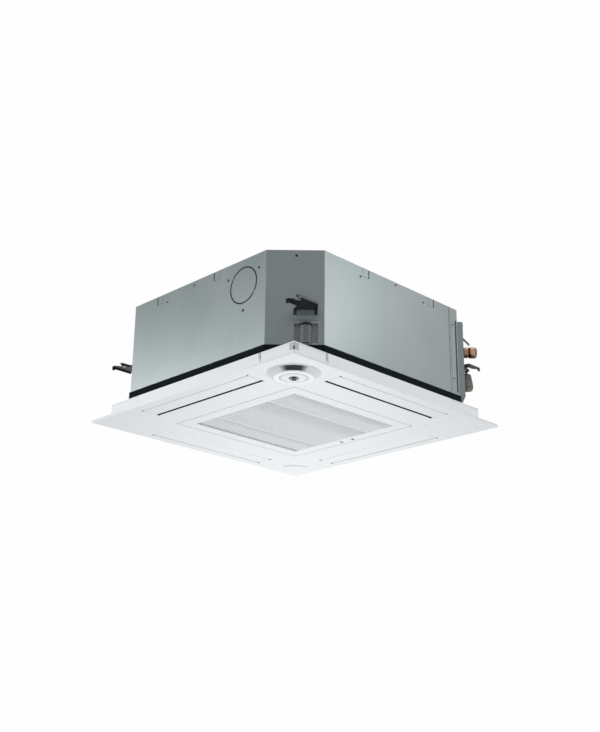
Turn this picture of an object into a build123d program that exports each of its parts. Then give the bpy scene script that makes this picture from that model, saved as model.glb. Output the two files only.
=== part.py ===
"""Four-way ceiling cassette air conditioner, indoor unit with its square panel.

Millimetres. The origin is the centre of the plane in which the panel's lip meets
the ceiling: +Z is up into the ceiling void, the front is -Y, the left side is -X.
"Outward" is the distance from the centre towards a side, and "diagonal" the
distance from the centre towards a corner, square to the corner's cut face.
"""
from math import sqrt
import os

from build123d import *

os.makedirs("parts", exist_ok=True)

ROOT2 = sqrt(2)

# ---- panel ------------------------------------------------------------------
lip_reach = 44.0            # lip, from the raised ring to the panel's edge
panel_corner_r = 5.0
lip_thickness = 8.0         # lip, from its underside to the ceiling plane
moulding = 3.0              # wall of the panel's mouldings
ring_margin = 11.0          # raised ring that enters the ceiling opening, beyond the casing
ring_top = 54.0
ring_seam_width = 2.5       # upright seams beside the ring's corners
ring_seam_bottom = 14.0
ring_recess = 1.0           # set-back of the ring's wall between seam and corner
ring_notch_width = 8.0      # upright slit in each corner of the ring
ring_notch_top = 19.0
hatch_leg = 183.0           # corner cover, from the panel's corner along each side
hatch_round = 40.0
hatch_ledge = 12.0
hatch_gap = 0.5
rib_height = 18.0
rib_width = 2.5
inner_flange = 13.5
bolt_inset = 17.0           # panel bolts, from the gusset's edge
bolt_r = 4.0
bolt_clearance = 0.5

# ---- casing -----------------------------------------------------------------
casing_size = 840.0
casing_height = 306.0
casing_bottom = 80.0
wide_cut = 124.0            # corner cut of the front left and back right corners
narrow_cut = 75.0           # corner cut of the other two
sheet = 1.2                 # sheet steel
sheet_gap = 0.4             # open seam between two sheets
liner_wall = 14.0           # foamed insulation
bottom_flange = 12.0
gusset_width = 51.0         # bottom flange in the corners
seam_margin = 120.0         # upright seams beside the pipe corner, from the casing's side
seam_slot = 2.0             # width of these seams
seam_bead = 9.0             # pressed bead beside each, from the seam
seal_proud = 4.0
seal_width = 20.0
knockout_r = 57.5           # fresh air knock-out in the left side
knockout_y = -197.0
knockout_drop = 86.0        # its centre, below the casing's top
knockout_slot = 3.4
knockout_groove = 8.0       # depth of the groove in the insulation behind it
tab_width = 26.0
tab_height = 29.0
tab_slot = 1.0              # open slot round each tab
tab_side_slot = 4.0         # the same at one side, where the tab is bent in

# ---- air outlets and vanes --------------------------------------------------
motor_space = 45.5          # between the vane's end and the corner hatch
vane_margin = 44.0          # vane's inner edge, inwards of the casing's side
vane_width = 61.0
vane_thickness = 3.0
vane_inner_gap = 3.5
vane_outer_gap = 2.0
vane_end_gap = 2.0
vane_notch_r = 2.4          # small round relief at each outer corner of the vane's rebate
pivot_inset = 16.0          # pivot, from the vane's inner edge
pivot_height = 9.0          # pivot above the panel's underside
vane_pin_r = 3.0
pin_clearance = 0.08
vane_motor_r = 11.0
vane_motor_offset = 7.0     # its body above its output shaft
vane_motor_length = 22.0

# ---- intake grille ----------------------------------------------------------
grille_size = 546.0
grille_gap = 2.5
slotted_size = 460.0
slot_count = 40
slot_width = 6.4
cross_rib_y = 119.0
cross_rib_width = 6.0
hinge_inset = 20.0          # hinge line, from the grille's left edge
hinge_height = 9.0          # hinge line above the panel's underside
hinge_pin_r = 2.0
hinge_y = 185.0
hinge_post_r = 5.0
hinge_post_width = 12.0
ear_gap = 0.5
ear_width = 3.0
latch_inset = 16.0          # latch knob, from the grille's edge
latch_y = 26.0
latch_travel = 6.0
filter_margin = 36.5        # filter's edge, inwards of the intake's wall
filter_thickness = 9.0
filter_gap = 1.0

# ---- fan --------------------------------------------------------------------
fan_r = 238.0
fan_plate_z = 289.0         # hub plate, underside
shroud_z = 162.0            # shroud flange, upper side
shroud_curl = 40.0          # radius of the shroud's curl
eye_gap = 8.0               # fan's eye, beyond the bell mouth's throat
eye_z = 112.0
fan_wall = 2.5
blade_count = 7
blade_inner_r = 130.0
blade_thickness = 5.0
hub_floor_z = 203.0
hub_r = 48.0
hub_rim_r = 120.0
shaft_r = 6.0
shaft_clearance = 0.05
mouth_r = 150.0             # bell mouth throat
mouth_top = 122.0
mouth_curl = 38.0
mouth_flange = 24.0         # flat flange round the curl
motor_r = 76.0
motor_top = 336.0
motor_lug_place = 84.0

# ---- coil and drain ---------------------------------------------------------
coil_margin = 91.0          # coil's outer face, inwards of the casing's side
coil_depth = 44.0
coil_bottom = 108.0
coil_corner_r = 40.0
coil_break = 50.0           # the fins stop this far inwards of the coil's inner face
coil_clearance = 0.3
bend_count = 8
tube_r = 4.0
pan_thickness = 45.5
pan_gap = 1.5
pan_slot_inset = 16.5       # outlet slot in the pan, inwards of the panel's duct
pan_slot_width = 54.0
pan_slot_margin = 11.5      # its end, inwards of the vane's end
sump_floor = 98.0

# ---- pipe corner (front right) ----------------------------------------------
cover_depth = 20.0
cover_half = 46.0
cover_bottom = 81.0
cover_drop = 40.0           # its top, below the casing's top
gas_r = 9.525
gas_along = -22.0
gas_z = 244.0
gas_nut_size = 36.0         # across the flats
liquid_r = 4.76
liquid_along = 24.0
liquid_z = 262.0
liquid_nut_size = 22.0
flare_clearance = 0.2
drain_r = 16.1
drain_wall = 4.9
drain_along = 18.0
drain_z = 148.0
header_gap = 6.0            # headers, outwards of the coil's two end corners
pump_margin = 54.0          # pump's axis, inwards of the cut corner
pump_r = 24.0
float_along = -32.0
float_r = 14.0

# ---- service port (front left) ----------------------------------------------
port_low = -5.0             # pocket, along the cut corner
port_high = 72.0
port_bottom = 84.0
port_top = 153.0
port_depth = 26.0
port_wall = 1.5
plug_r = 18.5
plug_along = 32.5
sleeve_rib_count = 7
sleeve_rib_pitch = 8.0
chamfer_hole = 8.0          # small triangular hole near the top of the cut corner
chamfer_hole_drop = 18.0
cap_along = 34.0            # small rubber cap on the pipe cover
cap_z = 181.0

# ---- suspension brackets ----------------------------------------------------
bracket_z = 192.0           # underside of the shelf, which rests on the rod's washer
bracket_steel = 3.0
bracket_flange = 10.0
rod_inset_x = 20.0          # hanging rod, inwards of the casing's sides
rod_inset_y = 2.0
rod_slot_r = 6.5
prong_reach = 9.0           # prong's tip, beyond the casing's side
prong_inset = 29.0          # inner prong, inwards of the casing's side
prong_proud = 25.0          # outer prong, beyond the casing's side
prong_root_x = 73.0         # roots of the outer and the inner prong
prong_root_y = 44.0
mouth_width = 32.0
leg_width = 9.0             # legs of the foot, beside its window
leg_height = 19.0

# ---- sensor (front left) ----------------------------------------------------
sensor_margin = 6.5         # spigot, from the hatch's edges
skirt_r = 80.0
face_r = 60.0
turret_r = 42.0
turret_clearance = 1.0
sensor_face = -23.0
spigot_r = 61.5
lens_r = 15.0
lens_proud = 4.0
lens_window = 13.0
window_half_angle = 36.0

# ---- electrics --------------------------------------------------------------
box_length = 320.0
box_gap = 4.0               # to the bell mouth's flange
box_margin = 6.0            # to the intake's flange
box_bottom = 36.0

# ---- worked out from the above ----------------------------------------------
underside = -lip_thickness
casing_top = casing_bottom + casing_height
half_casing = casing_size / 2
half_ring = half_casing + ring_margin
ring_size = 2 * half_ring
ring_inner = half_ring - moulding
half_panel = half_ring + lip_reach
panel_size = 2 * half_panel
wide_diagonal = (casing_size - wide_cut) / ROOT2
narrow_diagonal = (casing_size - narrow_cut) / ROOT2
cover_diagonal = narrow_diagonal + cover_depth
cover_top = casing_top - cover_drop
gusset_diagonal = wide_diagonal - gusset_width
bolt_place = (gusset_diagonal + bolt_inset) / ROOT2
front_seam = half_casing - seam_margin
knockout_z = casing_top - knockout_drop
pan_bottom = casing_bottom + pan_gap
pan_top = pan_bottom + pan_thickness
liner_top = casing_top - sheet
coil_top = liner_top - liner_wall - coil_clearance
coil_outer = half_casing - coil_margin
coil_inner = coil_outer - coil_depth
coil_end = coil_inner - coil_break
header_diagonal = (coil_end + coil_outer) / ROOT2 + header_gap
pump_diagonal = narrow_diagonal - pump_margin
hatch_edge = half_panel - hatch_leg
vane_length = 2 * (hatch_edge - motor_space)
vane_inner = half_casing - vane_margin
vane_outer = vane_inner + vane_width
vane_pivot = vane_inner + pivot_inset
duct_inner = vane_inner - vane_inner_gap
duct_half = vane_length / 2 + vane_end_gap
pan_slot_inner = duct_inner - pan_slot_inset
pan_slot_outer = pan_slot_inner + pan_slot_width
pan_slot_half = vane_length / 2 - pan_slot_margin
half_opening = grille_size / 2 + grille_gap
half_mouth = half_opening - inner_flange
filter_half = half_opening - filter_margin
latch_x = grille_size / 2 - latch_inset
sensor_x = sensor_y = -(hatch_edge + sensor_margin + spigot_r)
rod_x = half_casing - rod_inset_x
rod_y = half_casing - rod_inset_y
prong_tip = half_casing + prong_reach
prong_inner = half_casing - prong_inset
prong_outer = half_casing + prong_proud
eye_r = mouth_r + eye_gap
shroud_bend_r = eye_r + shroud_curl
mouth_flange_r = mouth_r + mouth_curl + mouth_flange
box_inner = mouth_flange_r + box_gap
box_outer = half_mouth - box_margin
pivot_z = underside + pivot_height
hinge_x = hinge_inset - grille_size / 2
hinge_z = underside + hinge_height
grille_top = underside + moulding
mouth_base = pan_bottom - fan_wall
slot_pitch = slotted_size / slot_count

SIDES = {"front": 0, "right": 90, "back": 180, "left": 270}
CORNERS = {
    "front_left": (-1, -1),
    "front_right": (1, -1),
    "back_right": (1, 1),
    "back_left": (-1, 1),
}
BOLTS = [(x * bolt_place, y * bolt_place) for x, y in CORNERS.values()]


def save(piece, label):
    """Name a finished piece and write it."""
    piece.part.label = label
    export_step(piece.part, f"parts/{label}.step")


def octagon(inset=0.0, wide=wide_diagonal, narrow=narrow_diagonal):
    """Corner points of the casing's outline, moved inwards by inset."""
    half = half_casing - inset
    cut_w = 2 * half - (wide - inset) * ROOT2
    cut_n = 2 * half - (narrow - inset) * ROOT2
    return [
        (-half, cut_w - half), (cut_w - half, -half),
        (half - cut_n, -half), (half, cut_n - half),
        (half, half - cut_w), (half - cut_w, half),
        (cut_n - half, half), (-half, half - cut_n),
    ]


def outline(points, mode=Mode.ADD):
    """Fill a polygon in the open sketch."""
    with BuildLine() as edge:
        Polyline(*points, close=True)
    make_face(edge.edges(), mode=mode)


def mitre_gaps(length):
    """Part the ring in the open sketch into eight strips, by narrow gaps at the octagon's corners."""
    for number, (x, y) in enumerate(octagon()):
        with Locations(Location((x, y, 0), (0, 0, 202.5 + 45 * number))):
            Rectangle(length, sheet_gap, mode=Mode.SUBTRACT)


def frame_opening(inset):
    """The opening inside the bottom flange and the panel's top flange."""
    reach = gusset_diagonal + inset
    return octagon(inset, reach, reach)


def on_side(turn, height=0.0):
    """A level plane turned so that its -Y points out of the chosen side."""
    return Plane.XY.offset(height).rotated((0, 0, turn))


def side_section(turn, along=0.0):
    """An upright plane across a side: x runs outwards, y upwards."""
    outward = Vector(0, -1, 0).rotate(Axis.Z, turn)
    middle = Vector(along, 0, 0).rotate(Axis.Z, turn)
    return Plane(origin=middle, x_dir=outward, z_dir=outward.cross(Vector(0, 0, 1)))


def on_chamfer(corner, diagonal):
    """An upright plane on a cut corner: x runs level along it, y is the height."""
    out = Vector(*CORNERS[corner], 0).normalized()
    return Plane(origin=out * diagonal, x_dir=Vector(0, 0, 1).cross(out), z_dir=out)


def pipe_plane(diagonal):
    return on_chamfer("front_right", diagonal)


def level_box(corner, diagonals, alongs, heights, mode=Mode.ADD):
    """A box square to a cut corner, in the open part."""
    with BuildSketch(on_chamfer(corner, diagonals[0])) as face:
        with Locations((sum(alongs) / 2, sum(heights) / 2)):
            Rectangle(alongs[1] - alongs[0], heights[1] - heights[0])
    extrude(face.sketch, amount=diagonals[1] - diagonals[0], mode=mode)


# =============================================================================
# Panel
# =============================================================================
def hatch_area(corner, inset=0.0, reach=half_panel, outer_r=0.0):
    """Square corner area with a rounded inner corner, in the open sketch."""
    sign_x, sign_y = CORNERS[corner]
    low = hatch_edge + inset
    middle = (reach + low) / 2
    with Locations((sign_x * middle, sign_y * middle)):
        area = Rectangle(reach - low, reach - low)
    inner, *_, outer = area.vertices().sort_by_distance((0, 0))
    fillet(inner, radius=hatch_round - inset)
    if outer_r:
        fillet(outer, radius=outer_r)


def build_panel_frame():
    duct_depth = ring_inner - duct_inner
    rebate_outer = vane_outer + vane_outer_gap
    with BuildPart() as panel_frame:
        # flat underside with its solid lip
        with BuildSketch(Plane.XY.offset(underside)):
            RectangleRounded(panel_size, panel_size, panel_corner_r)
        extrude(amount=moulding)
        with BuildSketch(Plane.XY.offset(underside)):
            RectangleRounded(panel_size, panel_size, panel_corner_r)
            Rectangle(2 * ring_inner, 2 * ring_inner, mode=Mode.SUBTRACT)
        extrude(amount=lip_thickness)
        # ring that enters the ceiling opening, with its top flange
        with BuildSketch():
            Rectangle(ring_size, ring_size)
            Rectangle(2 * ring_inner, 2 * ring_inner, mode=Mode.SUBTRACT)
        extrude(amount=ring_top)
        with BuildSketch(Plane.XY.offset(ring_top - moulding)):
            Rectangle(ring_size, ring_size)
            outline(frame_opening(bottom_flange), mode=Mode.SUBTRACT)
        extrude(amount=moulding)
        # block for the intake's wall, hollowed below
        with BuildSketch(Plane.XY.offset(underside)):
            Rectangle(2 * (half_opening + moulding), 2 * (half_opening + moulding))
        extrude(amount=ring_top - underside)
        # blocks for the outlet ducts, and ribs from them to the intake
        for turn in SIDES.values():
            with BuildSketch(on_side(turn, underside)):
                with Locations((0, -(duct_inner - moulding + half_ring) / 2)):
                    Rectangle(2 * (duct_half + moulding), half_ring - duct_inner + moulding)
            extrude(amount=ring_top - underside)
            with BuildSketch(on_side(turn, grille_top)):
                with Locations((0, -(half_opening + duct_inner) / 2)):
                    with GridLocations(150, 0, 4, 1):
                        Rectangle(rib_width, duct_inner - half_opening - moulding)
            extrude(amount=rib_height)
        # the ring's wall steps back between an upright seam and each slit corner
        for turn in SIDES.values():
            for end in (-1, 1):
                with BuildSketch(side_section(turn, end * (half_ring + hatch_edge) / 2)):
                    with Locations((half_ring, (ring_seam_bottom + ring_top - moulding) / 2)):
                        Rectangle(2 * ring_recess, ring_top - moulding - ring_seam_bottom)
                extrude(amount=(half_ring - hatch_edge) / 2, both=True, mode=Mode.SUBTRACT)
                with BuildSketch(side_section(turn, end * hatch_edge)):
                    with Locations((half_ring, (ring_seam_bottom + ring_top) / 2)):
                        Rectangle(2 * moulding - 1.5, ring_top - ring_seam_bottom)
                extrude(amount=ring_seam_width / 2, both=True, mode=Mode.SUBTRACT)
        for corner in CORNERS:
            level_box(corner, (half_ring * ROOT2 - 2 * moulding, half_ring * ROOT2),
                      (-ring_notch_width / 2, ring_notch_width / 2), (0, ring_notch_top), mode=Mode.SUBTRACT)
        # raised rims of the corner hatches
        for corner in CORNERS:
            with BuildSketch(Plane.XY.offset(underside)):
                hatch_area(corner, -moulding, ring_inner + 1)
            extrude(amount=lip_thickness)
        # intake opening, narrower at its flange
        with BuildSketch(Plane.XY.offset(underside)):
            Rectangle(2 * half_opening, 2 * half_opening)
        extrude(amount=ring_top - moulding - underside, mode=Mode.SUBTRACT)
        with BuildSketch(Plane.XY.offset(ring_top - moulding)):
            Rectangle(2 * half_mouth, 2 * half_mouth)
        extrude(amount=moulding, mode=Mode.SUBTRACT)
        # hinge posts hang from the flange over the grille's left edge
        for y in (-hinge_y, hinge_y):
            with BuildSketch(Plane.XZ.offset(-y)):
                with Locations((hinge_x, hinge_z)):
                    Circle(hinge_post_r)
                with Locations((hinge_x, (hinge_z + ring_top) / 2)):
                    Rectangle(2 * hinge_post_r, ring_top - hinge_z)
                with Locations((hinge_x + hinge_post_r, ring_top)):
                    Rectangle(half_opening + hinge_x + hinge_post_r, 10, align=(Align.MAX, Align.MAX))
                with Locations((hinge_x, hinge_z)):
                    Circle(hinge_pin_r + pin_clearance, mode=Mode.SUBTRACT)
            extrude(amount=hinge_post_width / 2, both=True)
        # air outlets: an open duct, with a rebate in the lip for the vane
        for turn in SIDES.values():
            with BuildSketch(on_side(turn, underside)):
                with Locations((0, -(duct_inner + ring_inner) / 2)):
                    Rectangle(2 * duct_half, duct_depth)
            extrude(amount=ring_top - underside, mode=Mode.SUBTRACT)
            with BuildSketch(on_side(turn, underside)):
                with Locations((0, -(duct_inner + rebate_outer) / 2)):
                    Rectangle(2 * duct_half, rebate_outer - duct_inner)
                with GridLocations(2 * duct_half - vane_notch_r, 0, 2, 1):
                    with Locations((0, -rebate_outer)):
                        Circle(vane_notch_r)
            extrude(amount=lip_thickness - moulding, mode=Mode.SUBTRACT)
            with BuildSketch(side_section(turn)):
                with Locations((vane_pivot, pivot_z)):
                    Circle(vane_pin_r + pin_clearance)
            extrude(amount=duct_half + moulding + 1, both=True, mode=Mode.SUBTRACT)
        # corner hatches: a rebate for the cover, and the opening behind it
        for corner in CORNERS:
            with BuildSketch(Plane.XY.offset(underside)):
                hatch_area(corner, 0, half_panel + 1)
            extrude(amount=lip_thickness - moulding, mode=Mode.SUBTRACT)
            with BuildSketch(Plane.XY.offset(-moulding)):
                hatch_area(corner, hatch_ledge, ring_inner - moulding)
            extrude(amount=moulding, mode=Mode.SUBTRACT)
        with Locations(*[(x, y, ring_top) for x, y in BOLTS]):
            Hole(radius=bolt_r + bolt_clearance, depth=moulding)
    return panel_frame


def build_corner_cover(corner):
    """Flush cover of a corner hatch. One carries the sensor, one an oval boss."""
    sign_x, sign_y = CORNERS[corner]
    boss_place = half_panel - 97
    with BuildPart() as cover:
        with BuildSketch(Plane.XY.offset(underside)):
            hatch_area(corner, hatch_gap, half_panel, panel_corner_r)
        extrude(amount=lip_thickness - moulding - hatch_gap)
        if corner == "front_left":
            with BuildSketch(Plane.XY.offset(underside)):
                with Locations((sensor_x, sensor_y)):
                    Circle(spigot_r + hatch_gap)
            extrude(amount=lip_thickness, mode=Mode.SUBTRACT)
        if corner == "back_right":
            with BuildSketch(Plane.XY.offset(underside)):
                with Locations(Location((sign_x * boss_place, sign_y * boss_place, 0), (0, 0, -45))):
                    Ellipse(46, 18)
            extrude(amount=-2)
            chamfer(cover.edges().group_by(Axis.Z)[0], 1)
    return cover


def build_vane(turn):
    """A flat blade with a cheek and a pivot pin at each end."""
    half = vane_length / 2
    with BuildPart() as vane:
        with BuildSketch(side_section(turn)):
            with BuildLine():
                base = Polyline(
                    (vane_inner, underside + vane_thickness),
                    (vane_inner, underside + 1),
                    (vane_inner + 1, underside),
                    (vane_outer - 1, underside),
                    (vane_outer, underside + 1),
                    (vane_outer, underside + vane_thickness - 0.6),
                )
                ThreePointArc(
                    base @ 1,
                    ((vane_inner + vane_outer) / 2, underside + vane_thickness + 1.2),
                    base @ 0,
                )
            make_face()
        extrude(amount=half, both=True)
        for end in (-1, 1):
            with BuildSketch(side_section(turn, end * half)):
                with Locations((vane_pivot, pivot_z)):
                    Circle(vane_pin_r + 2.5)
                with Locations((vane_pivot, (pivot_z + underside + 1) / 2)):
                    Rectangle(2 * vane_pin_r + 5, pivot_z - underside - 1)
            extrude(amount=end * moulding)
            with BuildSketch(side_section(turn, end * half)):
                with Locations((vane_pivot, pivot_z)):
                    Circle(vane_pin_r)
            extrude(amount=-end * (vane_end_gap + moulding + 6))
    return vane


def build_vane_motors():
    """Four geared stepper motors, one on each vane's pin."""
    start = duct_half + moulding
    with BuildPart() as vane_motors:
        for turn in SIDES.values():
            with BuildSketch(side_section(turn, start)):
                with Locations((vane_pivot, pivot_z + vane_motor_offset)):
                    Circle(vane_motor_r)
                    SlotOverall(4 * vane_motor_r - 4, 6)
            extrude(amount=-2)
            with BuildSketch(side_section(turn, start)):
                with Locations((vane_pivot, pivot_z + vane_motor_offset)):
                    Circle(vane_motor_r)
            extrude(amount=-vane_motor_length)
            with BuildSketch(side_section(turn, start)):
                with Locations((vane_pivot, pivot_z)):
                    Circle(vane_pin_r + pin_clearance)
            extrude(amount=-8, mode=Mode.SUBTRACT)
    return vane_motors


def build_intake_grille():
    """Slotted plate with a filter rim, and ears whose pins sit in the hinge posts."""
    band = slotted_size / 2 - cross_rib_y - cross_rib_width / 2
    ear_inner = hinge_post_width / 2 + ear_gap
    knob_slot = latch_travel + 7
    with BuildPart() as intake_grille:
        with BuildSketch(Plane.XY.offset(underside)):
            RectangleRounded(grille_size, grille_size, 4)
        extrude(amount=moulding)
        with BuildSketch(Plane.XY.offset(grille_top)):
            rim = filter_half + filter_gap
            Rectangle(2 * (rim + 2), 2 * (rim + 2))
            Rectangle(2 * rim, 2 * rim, mode=Mode.SUBTRACT)
        extrude(amount=filter_thickness)
        with BuildSketch(Plane.XY.offset(underside)):
            with GridLocations(slot_pitch, 0, slot_count, 1):
                Rectangle(slot_width, 2 * cross_rib_y - cross_rib_width)
            for y in (-1, 1):
                with Locations((0, y * (slotted_size - band) / 2)):
                    with GridLocations(slot_pitch, 0, slot_count, 1):
                        Rectangle(slot_width, band)
            with Locations((latch_x - latch_travel / 2, -latch_y), (latch_x - latch_travel / 2, latch_y)):
                Rectangle(knob_slot, 9)
        extrude(amount=moulding, mode=Mode.SUBTRACT)
        for y in (-hinge_y, hinge_y):
            for end in (-1, 1):
                with BuildSketch(Plane.XZ.offset(-(y + end * ear_inner))):
                    with Locations((hinge_x, hinge_z)):
                        Circle(hinge_post_r)
                    with Locations((hinge_x, (hinge_z + grille_top) / 2)):
                        Rectangle(2 * hinge_post_r, hinge_z - grille_top)
                extrude(amount=-end * ear_width)
            with BuildSketch(Plane.XZ.offset(-y)):
                with Locations((hinge_x, hinge_z)):
                    Circle(hinge_pin_r)
            extrude(amount=ear_inner + 1, both=True)
    return intake_grille


def build_latch(side):
    """Slide on the grille's upper side, with its knob through the grille."""
    y = side * latch_y
    tip = half_opening - 0.5
    with BuildPart() as latch:
        with BuildSketch(Plane.XY.offset(grille_top)):
            with Locations(((latch_x - 7 + tip) / 2, y)):
                Rectangle(tip - latch_x + 7, 14)
        extrude(amount=2.5)
        with BuildSketch(Plane.XY.offset(grille_top)):
            with Locations((latch_x, y)):
                RectangleRounded(6, 8, 1)
        extrude(amount=-moulding - 1)
    return latch


def build_air_filter():
    """Framed net with a grid of stiffening bars."""
    with BuildPart() as air_filter:
        with BuildSketch(Plane.XY.offset(grille_top)):
            Rectangle(2 * filter_half, 2 * filter_half)
        extrude(amount=filter_thickness)
        with BuildSketch(Plane.XY.offset(grille_top + filter_thickness)):
            with GridLocations(filter_half * 2 / 3, filter_half * 2 / 3, 3, 3):
                Rectangle(filter_half * 2 / 3 - 7, filter_half * 2 / 3 - 7)
        extrude(amount=1.2 - filter_thickness, mode=Mode.SUBTRACT)
    return air_filter


# =============================================================================
# Sensor in the front left corner
# =============================================================================
def sensor_section(turn=0.0):
    """An upright plane through the sensor's axis: x runs across it, y upwards."""
    across = Vector(1, 1, 0).rotate(Axis.Z, turn)
    return Plane(origin=(sensor_x, sensor_y, 0), x_dir=across, z_dir=across.cross(Vector(0, 0, 1)))


def build_sensor():
    """Conical skirt with a dark window, a turning turret, its lens and its motor."""
    axis = Axis((sensor_x, sensor_y, 0), (0, 0, 1))
    section = sensor_section()
    bore = turret_r + turret_clearance
    low, high = sensor_face + 1.5, underside - 1.5
    lens_gap = 0.1
    slope = (skirt_r - 1 - face_r) / (high - low)
    window = [
        (-face_r - slope, low + 1), (-skirt_r + 1 + slope, high - 1),
        (-skirt_r + 1 + slope + 1.5, high - 1), (-face_r - slope + 1.5, low + 1),
    ]
    window_start = sensor_section(-window_half_angle)
    with BuildPart() as sensor_base:
        with BuildSketch(section):
            outline([
                (bore, sensor_face), (face_r - 1.5, sensor_face), (face_r, low),
                (skirt_r - 1, high), (skirt_r, underside), (spigot_r, underside),
                (spigot_r, grille_top), (bore + 2.5, grille_top), (bore + 2.5, 8),
                (5, 8), (5, 5.5), (bore, 5.5),
            ])
        revolve(axis=axis)
        with BuildSketch(window_start):
            outline(window)
        revolve(axis=axis, revolution_arc=2 * window_half_angle, mode=Mode.SUBTRACT)
    save(sensor_base, "sensor_base")

    with BuildPart() as sensor_turret:
        with BuildSketch(section):
            outline([
                (0, sensor_face + 2), (lens_r + lens_gap, sensor_face + 2),
                (lens_r + lens_gap, sensor_face - 0.5),
                (turret_r - 5, sensor_face - 0.5), (turret_r - 4, sensor_face + 0.5),
                (turret_r - 3, sensor_face - 0.5), (turret_r - 1, sensor_face - 0.5),
                (turret_r, sensor_face + 0.5), (turret_r, sensor_face + 12),
                (turret_r - 2.5, sensor_face + 12), (turret_r - 2.5, sensor_face + 4.5),
                (4, sensor_face + 4.5), (4, 8), (0, 8),
            ])
        revolve(axis=axis)
    save(sensor_turret, "sensor_turret")

    with BuildPart() as sensor_lens:
        with BuildSketch(section):
            outline([
                (0, sensor_face + 2), (lens_r, sensor_face + 2), (lens_r, sensor_face - 0.5),
                (lens_r - 1.5, sensor_face - lens_proud + 0.5), (lens_r - 4, sensor_face - lens_proud),
                (0, sensor_face - lens_proud),
            ])
        revolve(axis=axis)
        with BuildSketch(Plane.XY.offset(sensor_face - lens_proud)):
            with Locations(Location((sensor_x, sensor_y, 0), (0, 0, -45))):
                Rectangle(lens_window, lens_window)
        extrude(amount=1.2, mode=Mode.SUBTRACT)
    save(sensor_lens, "sensor_lens")

    with BuildPart() as sensor_window:
        with BuildSketch(window_start):
            outline(window)
        revolve(axis=axis, revolution_arc=2 * window_half_angle)
    save(sensor_window, "sensor_window")

    with BuildPart() as sensor_motor:
        with BuildSketch(Plane.XY.offset(8)):
            with Locations((sensor_x, sensor_y)):
                Circle(15)
                SlotOverall(44, 8)
        extrude(amount=2)
        with BuildSketch(Plane.XY.offset(8)):
            with Locations((sensor_x, sensor_y)):
                Circle(15)
        extrude(amount=20)
    save(sensor_motor, "sensor_motor")


# =============================================================================
# Casing
# =============================================================================
def tab_places():
    """Where the top plate's tabs hang into the side sheets: side, place along it."""
    pairs = {"front": (-113, 206), "right": (-206, 113), "back": (-206, 73), "left": (-210, 73)}
    return [(SIDES[side], along) for side, pair in pairs.items() for along in pair]


def tab_notch(turn, along):
    """Section plane and half width of a tab's notch, wider at one side."""
    way = 1 if turn in (SIDES["front"], SIDES["back"]) else -1
    return side_section(turn, along + way * (tab_side_slot - tab_slot) / 2), (tab_width + tab_slot + tab_side_slot) / 2


def build_side_sheet(points):
    """The folded side sheet inside one region of the plan, notched for the tabs."""
    with BuildPart() as side_sheet:
        with BuildSketch(Plane.XY.offset(casing_bottom)):
            outline(octagon())
            outline(octagon(sheet), mode=Mode.SUBTRACT)
            outline(points, mode=Mode.INTERSECT)
        extrude(amount=casing_height - sheet)
        for turn, along in tab_places():
            plane, half_width = tab_notch(turn, along)
            with BuildSketch(plane):
                with Locations((half_casing, casing_top - tab_height / 2)):
                    Rectangle(4 * sheet, tab_height + 2 * tab_slot)
            extrude(amount=half_width, both=True, mode=Mode.SUBTRACT)
    return side_sheet


def build_casing_front_left():
    """Front, left side and the two cut corners between, with port and knock-out."""
    far = half_casing + 10
    turned = half_casing - narrow_cut
    sheet_a = build_side_sheet([
        (front_seam, -far), (-far, -far), (-far, far), (-turned, far), (-turned, front_seam),
        (0, 0), (front_seam, -front_seam),
    ])
    port = (port_low, port_high)
    left_face = Plane(origin=(-half_casing, 0, 0), x_dir=(0, -1, 0), z_dir=(-1, 0, 0))
    with BuildPart() as casing_front_left:
        add(sheet_a.part)
        level_box("front_left", (wide_diagonal - 5, wide_diagonal + 5), port,
                  (port_bottom, port_top), mode=Mode.SUBTRACT)
        # scored ring of the fresh air knock-out, held by eight small bridges
        with BuildSketch(left_face):
            with Locations((-knockout_y, knockout_z)):
                Circle(knockout_r + knockout_slot / 2)
                Circle(knockout_r - knockout_slot / 2, mode=Mode.SUBTRACT)
                with PolarLocations(knockout_r, 8, start_angle=22.5):
                    Rectangle(3 * knockout_slot, 8, mode=Mode.SUBTRACT)
            with Locations(*[(x - knockout_y, y + knockout_z) for x, y in ((68, 38), (-70, 37), (1, -83))]):
                Circle(2.5)
        extrude(amount=-2 * sheet, mode=Mode.SUBTRACT)
        with BuildSketch(on_chamfer("front_left", wide_diagonal)):
            with Locations((3, casing_top - chamfer_hole_drop)):
                RegularPolygon(chamfer_hole / 2, 3, rotation=90)
        extrude(amount=-2 * sheet, mode=Mode.SUBTRACT)
    return casing_front_left


def build_casing_back_right():
    far = half_casing + 10
    edge = half_casing - narrow_cut - sheet_gap
    return build_side_sheet([
        (-edge, far), (far, far), (far, -front_seam), (front_seam, -front_seam), (0, 0), (-edge, edge),
    ])


def build_pipe_corner_sheet():
    """Separate corner sheet that the refrigerant pipes and the drain pass through."""
    far = half_casing + 10
    start = front_seam + seam_slot
    middle = (casing_bottom + casing_top) / 2
    with BuildPart() as pipe_corner_sheet:
        add(build_side_sheet([(start, -far), (far, -far), (far, -start), (start, -start)]).part)
        for turn, way in ((SIDES["front"], 1), (SIDES["right"], -1)):
            with BuildSketch(side_section(turn, way * (start + seam_bead))):
                with Locations((half_casing, middle)):
                    Rectangle(2 * sheet - 1, casing_height - 24)
            extrude(amount=2, both=True)
        with BuildSketch(pipe_plane(narrow_diagonal)):
            with Locations((gas_along, gas_z)):
                Circle(gas_r + 4)
            with Locations((liquid_along, liquid_z)):
                Circle(liquid_r + 4)
            with Locations((drain_along, drain_z)):
                Circle(10)
        extrude(amount=-2 * sheet, mode=Mode.SUBTRACT)
    return pipe_corner_sheet


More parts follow.
